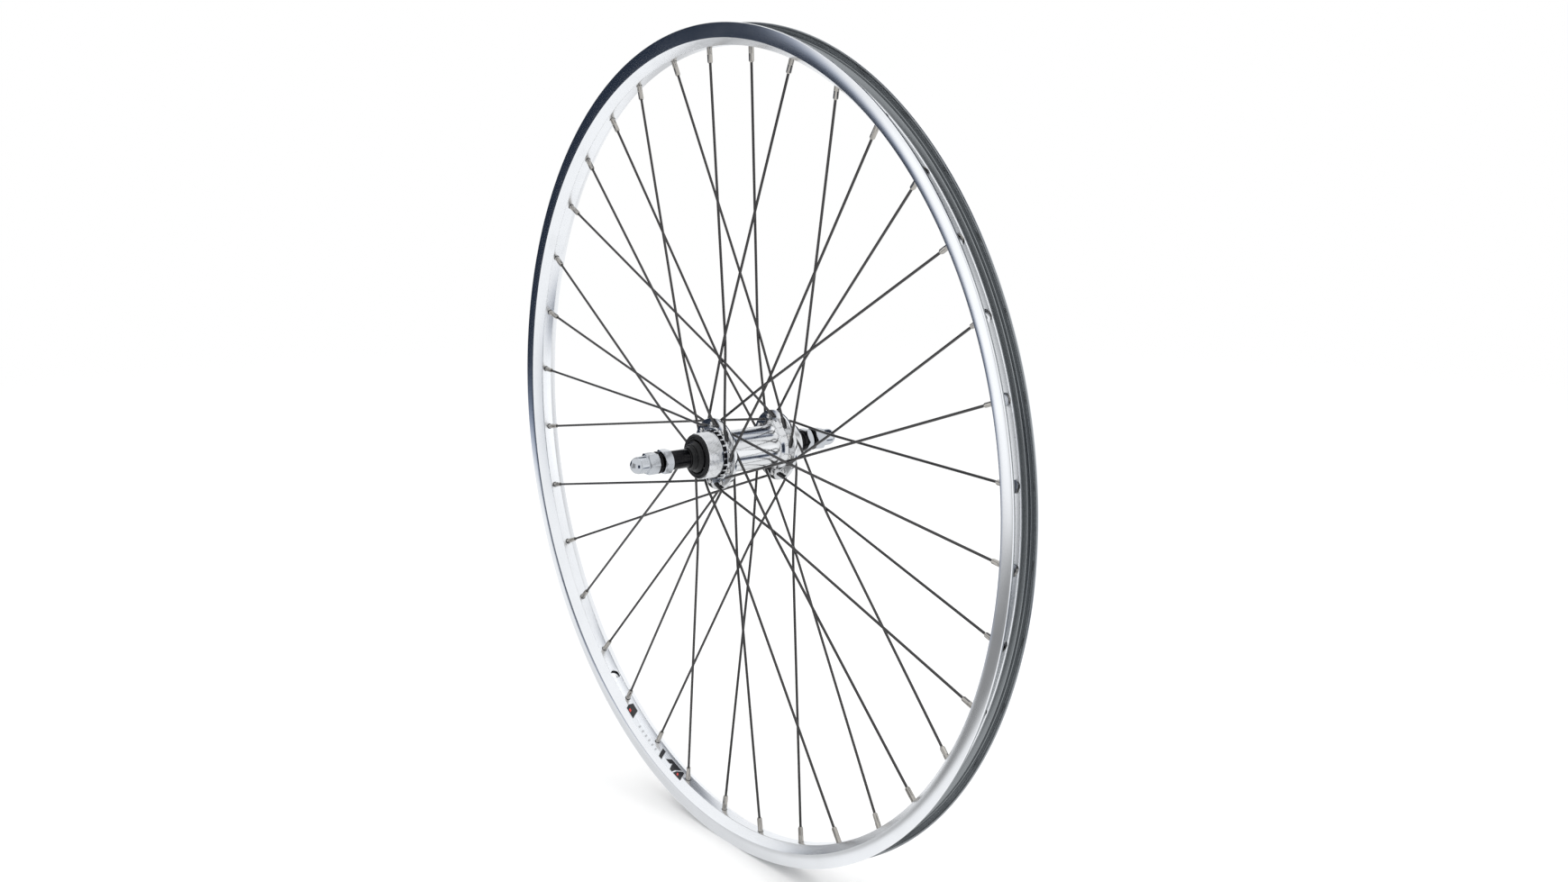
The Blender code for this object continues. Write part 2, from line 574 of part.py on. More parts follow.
def cone_profile(balls, body_radius, end):
    """A cone screwed on the axle: bore, nose, race, shoulder and body."""
    race = arc((BALL_CIRCLE_RADIUS, balls), RACE_RADIUS, 180, 90)
    shoulder = balls + RACE_RADIUS
    return [(AXLE_BORE_RADIUS, balls - CONE_NOSE), (BALL_CIRCLE_RADIUS - RACE_RADIUS, balls - CONE_NOSE),
            *race, (BALL_CIRCLE_RADIUS, shoulder + CLEARANCE), (body_radius, shoulder + 2 * CLEARANCE),
            (body_radius, end), (AXLE_BORE_RADIUS, end)]


def make_cones():
    drive = cone_profile(DRIVE_BALLS, CONE_BODY_RADIUS_DRIVE, CONE_END_DRIVE)
    other = cone_profile(OTHER_BALLS, CONE_BODY_RADIUS_OTHER, CONE_END_OTHER)
    lathe("cone_drive", outwards(DRIVE, drive), BEARING_STEPS, BLACK_STEEL)
    lathe("cone_other", outwards(OTHER, other), BEARING_STEPS, BLACK_STEEL)


def make_dust_caps():
    """Covers pressed into the hub's mouths, and the rubber lip on the drive side's cone."""
    cup_end = CUP_RIM + CLEARANCE
    end = FREEWHEEL_BOSS_END + CLEARANCE
    drive = [
        (CUP_RADIUS, DRIVE_BALLS + cup_end), (CUP_RADIUS, end), (DUST_CAP_RADIUS_DRIVE, end),
        (DUST_CAP_RADIUS_DRIVE - DUST_CAP_THICKNESS * 0.3, end + DUST_CAP_THICKNESS),
        (DUST_CAP_BORE_DRIVE, end + DUST_CAP_THICKNESS), (DUST_CAP_BORE_DRIVE, DRIVE_BALLS + cup_end),
    ]
    lathe("dust_cap_drive", outwards(DRIVE, drive), BEARING_STEPS, BLACK_PLASTIC)
    end = HOUSING_END + CLEARANCE
    bore = CONE_BODY_RADIUS_OTHER + 2 * CLEARANCE
    other = [
        (CUP_RADIUS, OTHER_BALLS + cup_end), (CUP_RADIUS, end), (DUST_CAP_RADIUS_OTHER, end),
        (DUST_CAP_RADIUS_OTHER, end + DUST_CAP_LIP), (bore, end + DUST_CAP_LIP),
        (bore, OTHER_BALLS + cup_end),
    ]
    # it stays outwards of the cone's shoulder, which is wider than its bore
    shoulder = OTHER_BALLS + RACE_RADIUS + 3 * CLEARANCE
    other = [(radius, max(distance, shoulder)) for radius, distance in other]
    lathe("dust_cap_other", outwards(OTHER, other), BEARING_STEPS, BLACK_PLASTIC)
    fit = CONE_BODY_RADIUS_DRIVE + CLEARANCE
    seal = [
        (fit, SEAL_START), (SEAL_RADIUS, SEAL_START), (SEAL_RADIUS, SEAL_START + SEAL_LIP),
        (SEAL_RADIUS - SEAL_LIP, SEAL_START + 2 * SEAL_LIP),
        (SEAL_RADIUS - 1.8 * SEAL_LIP, SEAL_END - SEAL_LIP), (fit + SEAL_LIP / 2, SEAL_END), (fit, SEAL_END),
    ]
    lathe("cone_seal_drive", outwards(DRIVE, seal), BEARING_STEPS, BLACK_RUBBER)


# ---- axle ---------------------------------------------------------------------------------------

def make_axle():
    end, radius, chamfer = AXLE_END, AXLE_RADIUS, AXLE_CHAMFER
    lathe("axle", [(0, end), (radius - chamfer, end), (radius, end - chamfer), (radius, -end + chamfer),
                   (radius - chamfer, -end), (0, -end)], AXLE_STEPS, BLACK_STEEL)


def make_spacer(name, side, radius, start, end):
    spacer = [(AXLE_BORE_RADIUS, start), (radius, start), (radius, end), (AXLE_BORE_RADIUS, end)]
    lathe(name, outwards(side, spacer), BEARING_STEPS, BLACK_STEEL)


def make_locknut(label, side, thickness):
    """A thin hexagon nut with chamfered corners, its outer face against the frame."""
    near = LOCKNUT_OUTER - thickness
    corner = LOCKNUT_ACROSS_FLATS / 2 / math.cos(math.pi / 6)
    face = corner - NUT_CHAMFER
    nut = [(AXLE_BORE_RADIUS, near), (face, near), (corner, near + NUT_CHAMFER / 2),
           (corner, LOCKNUT_OUTER - NUT_CHAMFER / 2), (face, LOCKNUT_OUTER),
           (AXLE_BORE_RADIUS, LOCKNUT_OUTER)]
    made = lathe("locknut_" + label, outwards(side, nut), BEARING_STEPS, ZINC_STEEL)
    boolean(made, hex_cutter("locknut_flats_" + label, LOCKNUT_ACROSS_FLATS, near - CUTTER_REACH,
                             LOCKNUT_OUTER + CUTTER_REACH, side))


def make_washer(label, side):
    outer = WASHER_START + WASHER_THICKNESS
    washer = [(AXLE_BORE_RADIUS, WASHER_START), (WASHER_RADIUS, WASHER_START),
              (WASHER_RADIUS, outer), (AXLE_BORE_RADIUS, outer)]
    lathe("washer_" + label, outwards(side, washer), BEARING_STEPS, BLACK_STEEL)


def make_dome_nut(label, side):
    """A closed nut: a chamfered hexagon, a round neck and a dome over a blind thread."""
    corner = NUT_ACROSS_FLATS / 2 / math.cos(math.pi / 6)
    hex_end = NUT_START + NUT_HEX_LENGTH
    dome = arc((0, NUT_TIP - NUT_DOME_RADIUS), NUT_DOME_RADIUS, 0, 90, 2 * ARC_STEPS)
    profile = [
        (0, NUT_BORE_END), (AXLE_BORE_RADIUS, NUT_BORE_END), (AXLE_BORE_RADIUS, NUT_START),
        (corner - NUT_CHAMFER, NUT_START), (corner, NUT_START + NUT_CHAMFER / 2),
        (corner, hex_end - NUT_CHAMFER / 2), (corner - NUT_CHAMFER, hex_end), (NUT_DOME_RADIUS, hex_end),
        *dome[:-1], (0, NUT_TIP),
    ]
    made = lathe("dome_nut_" + label, outwards(side, profile), BEARING_STEPS, ZINC_STEEL)
    boolean(made, hex_cutter("nut_flats_" + label, NUT_ACROSS_FLATS, NUT_START - CUTTER_REACH,
                             hex_end + CUTTER_REACH, side))


def make_axle_set():
    make_axle()
    make_cones()
    make_spacer("spacer_drive", DRIVE, SPACER_RADIUS_DRIVE, CONE_END_DRIVE + CLEARANCE,
               LOCKNUT_OUTER - LOCKNUT_THICKNESS_DRIVE - CLEARANCE)
    make_spacer("spacer_other", OTHER, SPACER_RADIUS_OTHER, CONE_END_OTHER + CLEARANCE,
               LOCKNUT_OUTER - LOCKNUT_THICKNESS_OTHER - CLEARANCE)
    make_locknut("drive", DRIVE, LOCKNUT_THICKNESS_DRIVE)
    make_locknut("other", OTHER, LOCKNUT_THICKNESS_OTHER)
    for label, side in (("drive", DRIVE), ("other", OTHER)):
        make_washer(label, side)
        make_dome_nut(label, side)


def main():
    spokes = [Spoke(i) for i in range(SPOKE_COUNT)]
    make_rim(spokes)
    make_rim_sleeve()
    for spoke in spokes:
        make_spoke(spoke)
    make_hub_shell(spokes)
    make_bearing(DRIVE, DRIVE_BALLS, "drive")
    make_bearing(OTHER, OTHER_BALLS, "other")
    make_dust_caps()
    make_axle_set()


main()
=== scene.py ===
import math

import bmesh
import bpy
from mathutils import Matrix, Vector


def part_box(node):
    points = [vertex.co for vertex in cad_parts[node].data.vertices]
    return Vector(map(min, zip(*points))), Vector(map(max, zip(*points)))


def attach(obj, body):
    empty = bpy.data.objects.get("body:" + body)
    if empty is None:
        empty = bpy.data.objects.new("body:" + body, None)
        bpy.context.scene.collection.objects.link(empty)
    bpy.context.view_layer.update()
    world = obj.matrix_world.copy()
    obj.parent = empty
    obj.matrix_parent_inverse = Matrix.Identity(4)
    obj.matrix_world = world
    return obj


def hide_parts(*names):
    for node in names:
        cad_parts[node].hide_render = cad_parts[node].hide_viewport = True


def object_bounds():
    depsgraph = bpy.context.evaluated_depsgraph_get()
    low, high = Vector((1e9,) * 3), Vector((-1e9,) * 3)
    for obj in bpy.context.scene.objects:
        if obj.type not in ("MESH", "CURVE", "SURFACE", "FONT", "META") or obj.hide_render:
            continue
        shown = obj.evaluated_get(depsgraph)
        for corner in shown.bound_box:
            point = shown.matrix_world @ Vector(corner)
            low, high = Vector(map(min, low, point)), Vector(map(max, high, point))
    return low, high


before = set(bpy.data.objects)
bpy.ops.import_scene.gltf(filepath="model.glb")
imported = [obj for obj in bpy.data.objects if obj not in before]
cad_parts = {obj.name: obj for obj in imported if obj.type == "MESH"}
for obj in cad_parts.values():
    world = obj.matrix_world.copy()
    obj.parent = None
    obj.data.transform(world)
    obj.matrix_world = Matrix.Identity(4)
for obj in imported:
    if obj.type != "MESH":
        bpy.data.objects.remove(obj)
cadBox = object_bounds()
scene = bpy.context.scene
mm = 0.001
degree = 180 / math.pi   # degrees in a radian
drive, other = -1, 1     # the two sides of the wheel along Y; the freewheel screws on at -Y


def ends(node):
    # how far a node reaches along the axle from the wheel's middle plane, near and far end, in mm
    low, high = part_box(node)
    near, far = sorted((abs(low[1]), abs(high[1])))
    return near / mm, far / mm


# angles in degrees, distances in metres, the lens in mm
view = {"azimuth": 54.20, "elevation": 12.17, "distance": 1.333, "aside": 0.0362, "above": 0.0072,
        "lens": 40.34, "sensor": 36, "clipStart": 0.05}


def placeCamera():
    turn, tilt = math.radians(view["azimuth"]), math.radians(view["elevation"])
    back = Vector((math.sin(turn) * math.cos(tilt), -math.cos(turn) * math.cos(tilt), math.sin(tilt)))
    right = Vector((math.cos(turn), math.sin(turn), 0))
    up = back.cross(right)
    data = bpy.data.cameras.new("camera")
    data.lens = view["lens"]
    data.sensor_width = view["sensor"]
    data.clip_start = view["clipStart"]
    camera = bpy.data.objects.new("camera", data)
    scene.collection.objects.link(camera)
    at = back * view["distance"] + right * view["aside"] + up * view["above"]
    camera.matrix_world = Matrix.Translation(at) @ Matrix((right, up, back)).transposed().to_4x4()
    scene.camera = camera
    scene.view_settings.view_transform = "Standard"     # white stays white


class Shade:
    # a socket of a shader tree, so that node maths reads as Python expressions

    def __init__(self, tree, socket=None):
        self.tree, self.socket = tree, socket

    def node(self, kind, settings=None, values=None, output=0):
        # any node: its settings first, then the values or links of its sockets
        made = self.tree.nodes.new(kind)
        for name, value in (settings or {}).items():
            setattr(made, name, value)
        for name, value in (values or {}).items():
            if isinstance(value, Shade):
                self.tree.links.new(value.socket, made.inputs[name])
            else:
                made.inputs[name].default_value = value
        return Shade(self.tree, made.outputs[output] if made.outputs else None)

    def out(self, output):
        return Shade(self.tree, self.socket.node.outputs[output])

    def maths(self, operation, *values):
        return self.node("ShaderNodeMath", {"operation": operation}, dict(enumerate(values)))

    def __add__(self, value):
        return self.maths("ADD", self, value)

    def __sub__(self, value):
        return self.maths("SUBTRACT", self, value)

    def __mul__(self, value):
        return self.maths("MULTIPLY", self, value)

    def __truediv__(self, value):
        return self.maths("DIVIDE", self, value)

    def __rsub__(self, value):
        return self.maths("SUBTRACT", value, self)

    __radd__, __rmul__ = __add__, __mul__

    def size(self):
        return self.maths("ABSOLUTE", self)

    def step(self, start, end):
        # a soft step from 0 at start to 1 at end, whichever of them is the higher
        up = start < end
        return self.node("ShaderNodeMapRange", {"interpolation_type": "SMOOTHSTEP"},
                         {"Value": self, "From Min": min(start, end), "From Max": max(start, end),
                          "To Min": 0.0 if up else 1.0, "To Max": 1.0 if up else 0.0})

    def band(self, low, high, soft):
        # 1 between low and high, with soft edges
        return self.step(low - soft, low + soft) * self.step(high + soft, high - soft)

    def mix(self, first, second):
        # this value is the factor between two colours
        return self.node("ShaderNodeMix", {"data_type": "RGBA"}, {"Factor": self, 6: first, 7: second}, 2)

    def darken(self, colour):
        # black at 0, the whole colour at 1
        return self.mix((0, 0, 0, 1), colour)

    def noise(self, scale, detail=2.0, roughness=0.5):
        # this value is the place at which the noise is read
        return self.node("ShaderNodeTexNoise", {"noise_dimensions": "3D"},
                         {"Vector": self, "Scale": scale, "Detail": detail, "Roughness": roughness})

    def vector(self, x, y, z):
        return self.node("ShaderNodeCombineXYZ", {}, {"X": x, "Y": y, "Z": z})


studio = {
    "backdrop": 1.0, "fill": 1.22, "surround": 1.03,
    "light": (0.97, 0.985, 1.0, 1), "shadow": (0.45, 0.62, 1.0, 1), "darkLevel": 0.1,
    "floorRadius": 3.0, "floorGap": 0.0003, "floorFade": (0.5, 2.6), "floorWhite": 0.97,
    # what is reflected: bearing from, to (0 is +X, 90 is +Y), height from, to, softness, how light
    "zones": [
        (158, 178, -14, 62, 5, 0.58),         # grey between the backdrop and the dark wall
        (118, 178, -42, -18, 4, 0.62),
        (177, 218.6, -12, 17, 2.6, 0.05),     # the dark wall on the freewheel's side
        (210.5, 217, -18, -8, 1.5, 0.05),
        (200, 216, -44, -20, 3, 0.78),
        (217, 242, -23.6, -15.5, 1.5, 0.26),
        (221.5, 234, -13, 2, 2, 1.20),
        (58, 150, 37, 54, 3, 0.03),           # dark bands above and below the box that lights the barrel
        (30, 64, -36, -25, 3, 0.06),
        (236, 288, -26, 26, 6, 0.42),         # the room straight off each side of the wheel
        (76, 98, -26, 28, 6, 0.42),
        (322, 350, -28, 14, 4, 0.05),         # the camera's own dark side
        (28, 150, 61, 84, 3, 1.30),
        (25, 48, -18, 12, 4, 1.25)],          # the bright middle of the box
}


def makeWorld():
    # white to the eye, and a studio of light and dark zones to whatever is reflected
    world = bpy.data.worlds.new("studio")
    scene.world = world
    world.use_nodes = True
    world.cycles.sampling_method = "NONE"
    tree = world.node_tree
    tree.nodes.clear()
    start = Shade(tree)
    way = start.node("ShaderNodeTexCoord", {}, {}, "Generated")
    x = start.node("ShaderNodeSeparateXYZ", {}, {"Vector": way})
    y, z = x.out(1), x.out(2)
    height = z.maths("ARCSINE", z) * degree
    turn = y.maths("ARCTAN2", y, x) * degree
    bearing = turn.maths("FLOORED_MODULO", turn, 360)
    light, dark = studio["surround"], 0
    for near, far, low, high, soft, level in studio["zones"]:
        zone = bearing.band(near, far, soft) * height.band(low, high, soft)
        light = light * (1 - zone) + zone * level
        if level < studio["darkLevel"]:
            dark = dark + zone
    tint = dark.mix(studio["light"], studio["shadow"])
    white = (1, 1, 1, 1)
    reflected = start.node("ShaderNodeBackground", {}, {"Color": tint, "Strength": light})
    plain = start.node("ShaderNodeBackground", {}, {"Color": white, "Strength": studio["fill"]})
    seen = start.node("ShaderNodeBackground", {}, {"Color": white, "Strength": studio["backdrop"]})
    path = start.node("ShaderNodeLightPath", {}, {}, "Is Glossy Ray")
    soft = start.node("ShaderNodeMixShader", {}, {0: path, 1: plain, 2: reflected})
    both = start.node("ShaderNodeMixShader", {}, {0: path.out("Is Camera Ray"), 1: soft, 2: seen})
    start.node("ShaderNodeOutputWorld", {}, {"Surface": both})


def makeFloor():
    # a round floor at the rim's lowest point, which fades into the backdrop
    bpy.ops.mesh.primitive_circle_add(vertices=96, radius=studio["floorRadius"], fill_type="NGON",
                                      location=(0, 0, cadBox[0][2] - studio["floorGap"]))
    floor = bpy.context.object
    floor.name = "floor"
    paper = bpy.data.materials.new("floor_paper")
    paper.use_nodes = True
    tree = paper.node_tree
    tree.nodes.clear()
    start = Shade(tree)
    at = start.node("ShaderNodeTexCoord", {}, {}, "Object")
    away = start.node("ShaderNodeVectorMath", {"operation": "LENGTH"}, {0: at}, "Value")
    white = start.node("ShaderNodeBsdfDiffuse", {}, {"Color": (*[studio["floorWhite"]] * 3, 1)})
    clear = start.node("ShaderNodeBsdfTransparent")
    mixed = start.node("ShaderNodeMixShader", {}, {0: away.step(*studio["floorFade"]), 1: white, 2: clear})
    start.node("ShaderNodeOutputMaterial", {}, {"Surface": mixed})
    floor.data.materials.append(paper)
    floor.visible_glossy = False      # reflections take the floor from the world, blur and all


placeCamera()
makeWorld()
makeFloor()
print("camera, world and floor")


finishes = {}


def finish(name, slot, colour, metallic, roughness, build, gloss=0.5):
    # one procedural material; build returns what varies over the surface
    # it gets the place in mm, how far out from the axle and along it, x, z, and the colour
    made = bpy.data.materials.new(name)
    made.use_nodes = True
    tree = made.node_tree
    shader = tree.nodes["Principled BSDF"]
    shader.inputs["Base Color"].default_value = (*colour, 1)
    shader.inputs["Metallic"].default_value = metallic
    shader.inputs["Roughness"].default_value = roughness
    shader.inputs["Specular IOR Level"].default_value = gloss
    made.diffuse_color = (*colour, 1)
    start = Shade(tree)
    place = start.node("ShaderNodeTexCoord", {}, {}, "Object")
    at = start.node("ShaderNodeVectorMath", {"operation": "SCALE"}, {0: place, "Scale": 1 / mm})
    x = start.node("ShaderNodeSeparateXYZ", {}, {"Vector": at})
    z = x.out(2)
    r = x.maths("SQRT", x * x + z * z)
    for label, value in build(at, r, x.out(1), x, z, (*colour, 1)).items():
        tree.links.new(value.socket, shader.inputs[label])
    finishes[name] = (made, slot)


def bumped(height, depth):
    # depth in mm is what the height's 0 to 1 stands for
    return height.node("ShaderNodeBump", {}, {"Height": height, "Distance": depth * mm, "Strength": 1.0})


def turnedLines(at, r, y, scale, detail=3.0, roughness=0.6):
    # the fine rings that a lathe leaves, or a die along the rim
    return at.vector(r * scale, y * scale, 0.0).noise(1.0, detail, roughness)


decal = {
    "start": -147.3, "end": -165.4,       # degrees round the rim
    "near": -6.9, "far": 1.6,             # mm across its bed
    # from here on shares of the film's length, or of its width where the name says across
    "block": (0.03, 0.16), "blockAcross": (0.10, 0.95),
    "narrowBar": (0.64, 0.69), "wideBar": (0.69, 0.76), "wideAcross": (0.35, 0.92),
    "wedge": (0.83, 1.01), "notch": (0.86, 0.875), "barsAcross": (0.06, 0.92),
    "dashes": (0.235, 0.58), "dashesAcross": (0.10, 0.30), "dashCount": 17, "dashShare": (0.30, 0.62),
    "dashStrength": 0.45, "redBars": [(0.065, 0.095), (0.935, 0.955)], "redAcross": (0.18, 0.34),
    "slant": 0.07, "lean": 0.05, "edge": 0.004, "fineEdge": 0.003, "edgeAcross": 0.02, "softAcross": 0.03,
    "white": (0.80, 0.82, 0.85, 1), "black": (0.012, 0.012, 0.014, 1), "red": (0.65, 0.05, 0.045, 1),
    "printedUpTo": (304.6, 304.2)}        # radius in mm past which the rim stays bare


def decalShapes(y, x, z):
    # a plain printed film on the bed below the valve: blocks and slanted bars, nothing that reads
    edge, fine, acrossEdge, soft = (decal[name] for name in ("edge", "fineEdge", "edgeAcross", "softAcross"))
    angle = x.maths("ARCTAN2", x, z) * degree
    along = (angle - decal["start"]) / (decal["end"] - decal["start"])
    across = (y - decal["near"]) / (decal["far"] - decal["near"])
    slant, lean = along + across * decal["slant"], along - across * decal["lean"]
    film = along.band(0.0, 1.0, fine) * across.band(0.0, 1.0, acrossEdge)
    block = slant.band(*decal["block"], edge) * across.band(*decal["blockAcross"], acrossEdge)
    wide = lean.band(*decal["wideBar"], edge) * across.band(*decal["wideAcross"], acrossEdge)
    wedge = slant.band(*decal["wedge"], edge) * (1 - lean.band(*decal["notch"], fine))
    bars = slant.band(*decal["narrowBar"], edge) + wide + wedge
    bars = bars * across.band(*decal["barsAcross"], acrossEdge)
    dash = (along * decal["dashCount"]).maths("FRACT", along * decal["dashCount"])
    dashes = dash.band(*decal["dashShare"], 0.06) * along.band(*decal["dashes"], edge)
    dashes = dashes * across.band(*decal["dashesAcross"], soft) * decal["dashStrength"]
    ink = block + bars + dashes
    red = sum(slant.band(*bar, fine) for bar in decal["redBars"]) * across.band(*decal["redAcross"], soft)
    return film, ink.maths("MINIMUM", ink, 1.0) * film, red * film


# zones in mm, from where one starts to where it is complete; the well's dark colour is painted shade
rimLook = {"trackRadius": (305.3, 305.7), "trackSide": (10.7, 10.95), "trackColour": (0.90, 0.91, 0.93, 1),
           "wellRadius": (307.2, 308.2), "wellSide": (10.3, 10.0), "wellShadeColour": (0.29, 0.305, 0.315, 1),
           "blotchHeight": (40, 160), "blotchRadius": (305, 303), "lineScale": 3.1, "lineDepth": 0.0008}


def rimSurface(at, r, y, x, z, tone):
    track = r.step(*rimLook["trackRadius"]) * y.size().step(*rimLook["trackSide"])
    well = r.step(*rimLook["wellRadius"]) * y.size().step(*rimLook["wellSide"])
    lines = turnedLines(at, r, y, rimLook["lineScale"])
    cloud = at.noise(0.035, 3.0, 0.55)
    patch = at.vector(x * 0.02, y * 0.1, z * 0.02).noise(1.0, 4.0, 0.6)
    wear = at.noise(0.9, 4.0, 0.7)
    # noisy darker blotches on the bed, only towards the top of the wheel
    blotches = at.noise(0.05, 3.0, 0.55).step(0.5, 0.75) * z.step(*rimLook["blotchHeight"])
    blotches = blotches * r.step(*rimLook["blotchRadius"])
    shade = 0.95 + (cloud - 0.5) * 0.08 + (lines - 0.5) * 0.04 + (wear - 0.5) * 0.02 - blotches * 0.07
    bright = track.mix(shade.darken(tone), shade.darken(rimLook["trackColour"]))
    # painted shade: the tyre well's floor and walls are darkened as if shaded by the deep channel
    shadedWell = (shade + (lines - 0.5) * 0.8).darken(rimLook["wellShadeColour"])
    film, ink, red = decalShapes(y, x, z)
    printed = r.step(*decal["printedUpTo"])
    film, red = film * printed, red * printed
    colour = film.mix(well.mix(bright, shadedWell), ink.mix(decal["white"], decal["black"]))
    rough = 0.26 + (lines - 0.5) * 0.10 + (patch - 0.5) * 0.08 - track * 0.14 + (wear - 0.5) * 0.03
    return {"Base Color": red.mix(colour, decal["red"]), "Roughness": rough,
            "Metallic": 1 - film * (0.35 + ink * 0.65),
            "Normal": bumped(lines * (1 - track * 0.7), rimLook["lineDepth"])}


# the roots between the teeth of the hub's ring, painted near black as shade, in mm out from the axle and
# along it
hubLook = {"rootFrom": (17.5, 17.7), "rootTo": (18.75, 18.35), "rootAlong": (-23.4, -20.9),
           "rootShadeColour": (0.03, 0.03, 0.035, 1)}


def hubSurface(at, r, y, x, z, tone):
    turning = turnedLines(at, r, y, 2.2, 3.0, 0.65)
    blotches = at.noise(0.16, 4.0, 0.6)
    # painted shade: near black in the roots between the teeth
    rootShade = r.step(*hubLook["rootTo"]) * y.band(*hubLook["rootAlong"], 0.05) * r.step(*hubLook["rootFrom"])
    shade = 0.96 + (blotches - 0.5) * 0.10 + (turning - 0.5) * 0.05
    rough = 0.13 + (blotches - 0.5) * 0.10 + (turning - 0.5) * 0.07 + rootShade * 0.3
    return {"Base Color": rootShade.mix(shade.darken(tone), hubLook["rootShadeColour"]), "Roughness": rough,
            "Normal": bumped(turning, 0.0012)}


# the wire's tone is painted shade, far darker than bare stainless
def wireSurface(at, r, y, x, z, tone):
    drawn = at.vector(r * 0.05, y * 2.5, x * 2.5 + z * 2.5).noise(1.0)
    spots = at.noise(0.4, 3.0, 0.6)
    return {"Base Color": (0.92 + (spots - 0.5) * 0.14).darken(tone),
            "Roughness": 0.20 + (drawn - 0.5) * 0.08 + (spots - 0.5) * 0.08}


def buttonSurface(at, r, y, x, z, tone):
    spots = at.noise(1.4, 3.0, 0.6)
    return {"Base Color": (0.92 + (spots - 0.5) * 0.16).darken(tone),
            "Roughness": 0.14 + (spots - 0.5) * 0.10}


def nickelSurface(at, r, y, x, z, tone):
    spots = at.noise(0.9, 4.0, 0.6)
    return {"Base Color": (0.9 + (spots - 0.5) * 0.16).darken(tone),
            "Roughness": 0.12 + (spots - 0.5) * 0.10, "Normal": bumped(spots, 0.006)}


def zincSurface(at, r, y, x, z, tone):
    cloud = at.noise(0.35, 4.0, 0.62)
    turning = turnedLines(at, r, y, 2.6)
    return {"Base Color": (0.94 + (cloud - 0.5) * 0.16).darken(tone),
            "Roughness": 0.11 + (cloud - 0.5) * 0.08 + (turning - 0.5) * 0.04,
            "Normal": bumped(cloud, 0.004)}


def oxideSurface(at, r, y, x, z, tone):
    cloud = at.noise(0.5, 4.0, 0.65)
    turning = turnedLines(at, r, y, 3.0)
    return {"Base Color": cloud.step(0.3, 0.75).mix((0.008, 0.008, 0.009, 1), tone),
            "Roughness": 0.12 + cloud * 0.12 + (turning - 0.5) * 0.08, "Normal": bumped(turning, 0.004)}


def bearingSurface(at, r, y, x, z, tone):
    film = at.noise(0.6, 3.0, 0.6)        # thin grease
    return {"Base Color": film.step(0.35, 0.8).mix(tone, (0.48, 0.42, 0.33, 1)),
            "Roughness": 0.10 + film * 0.14}


def plasticSurface(at, r, y, x, z, tone):
    grain = at.noise(9.0, 2.0, 0.6)
    scuffs = at.noise(0.7, 5.0, 0.7)
    return {"Base Color": scuffs.step(0.45, 0.8).mix((0.006, 0.006, 0.007, 1), tone),
            "Roughness": 0.26 + (scuffs - 0.5) * 0.14, "Normal": bumped(grain, 0.003)}


def rubberSurface(at, r, y, x, z, tone):
    grain = at.noise(6.0, 3.0, 0.6)
    dust = at.noise(0.5, 4.0, 0.7)
    return {"Base Color": dust.step(0.4, 0.85).mix((0.007, 0.007, 0.008, 1), tone),
            "Roughness": 0.30 + (dust - 0.5) * 0.16, "Normal": bumped(grain, 0.004)}


finish("satin_alloy", "rim_alloy", (0.93, 0.94, 0.96), 1.0, 0.26, rimSurface)
finish("polished_alloy", "hub_alloy", (0.76, 0.765, 0.775), 1.0, 0.13, hubSurface)
# the spoke wire's near-black colour is painted shade: stainless darkened to the dark room that it reflects
finish("drawn_stainless_painted_shade", "stainless", (0.085, 0.082, 0.082), 1.0, 0.20, wireSurface)
finish("polished_stainless", "stainless", (0.80, 0.79, 0.78), 1.0, 0.14, buttonSurface)
finish("nickel_plate", "stainless", (0.50, 0.475, 0.44), 1.0, 0.12, nickelSurface)
finish("zinc_plate", "zinc_steel", (0.58, 0.60, 0.63), 1.0, 0.11, zincSurface)
finish("black_oxide", "black_steel", (0.020, 0.019, 0.020), 0.9, 0.18, oxideSurface)
finish("ground_steel", "bearing_steel", (0.62, 0.61, 0.60), 1.0, 0.17, bearingSurface)
finish("moulded_black", "black_plastic", (0.014, 0.014, 0.015), 0.0, 0.26, plasticSurface, 0.22)
finish("seal_rubber", "black_rubber", (0.018, 0.018, 0.018), 0.0, 0.30, rubberSurface, 0.22)
print("finishes:", ", ".join(finishes))


sharp = 32                # degrees past which an edge stays sharp
mergeWithin = 0.002 * mm


def fitted(piece, look, body, *nodes):
    # gives a finished piece its material and its body, and hides the CAD nodes that it stands for
    made, slot = finishes[look]
    piece.data.materials.clear()
    piece.data.materials.append(made)
    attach(piece, body)
    if nodes:
        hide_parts(*nodes)
    print("  ", piece.name, len(piece.data.polygons), "faces")
    return piece


def rounded(outline, radius, steps=3, closed=True):
    # an outline in mm with its corners eased; radius may be a list with one value a corner
    made = []
    for i, point in enumerate(outline):
        here = Vector(point)
        ease = radius[i] if isinstance(radius, list) else radius
        if ease == 0 or (not closed and i in (0, len(outline) - 1)):
            made.append(tuple(here))
            continue
        before, after = Vector(outline[i - 1]) - here, Vector(outline[(i + 1) % len(outline)]) - here
        half = before.angle(after) / 2
        cut = min(ease / math.tan(half), 0.45 * before.length, 0.45 * after.length)
        first, last = here + before.normalized() * cut, here + after.normalized() * cut
        for k in range(steps + 1):
            t = k / steps
            made.append(tuple((1 - t)**2 * first + 2 * t * (1 - t) * here + t * t * last))
    return made


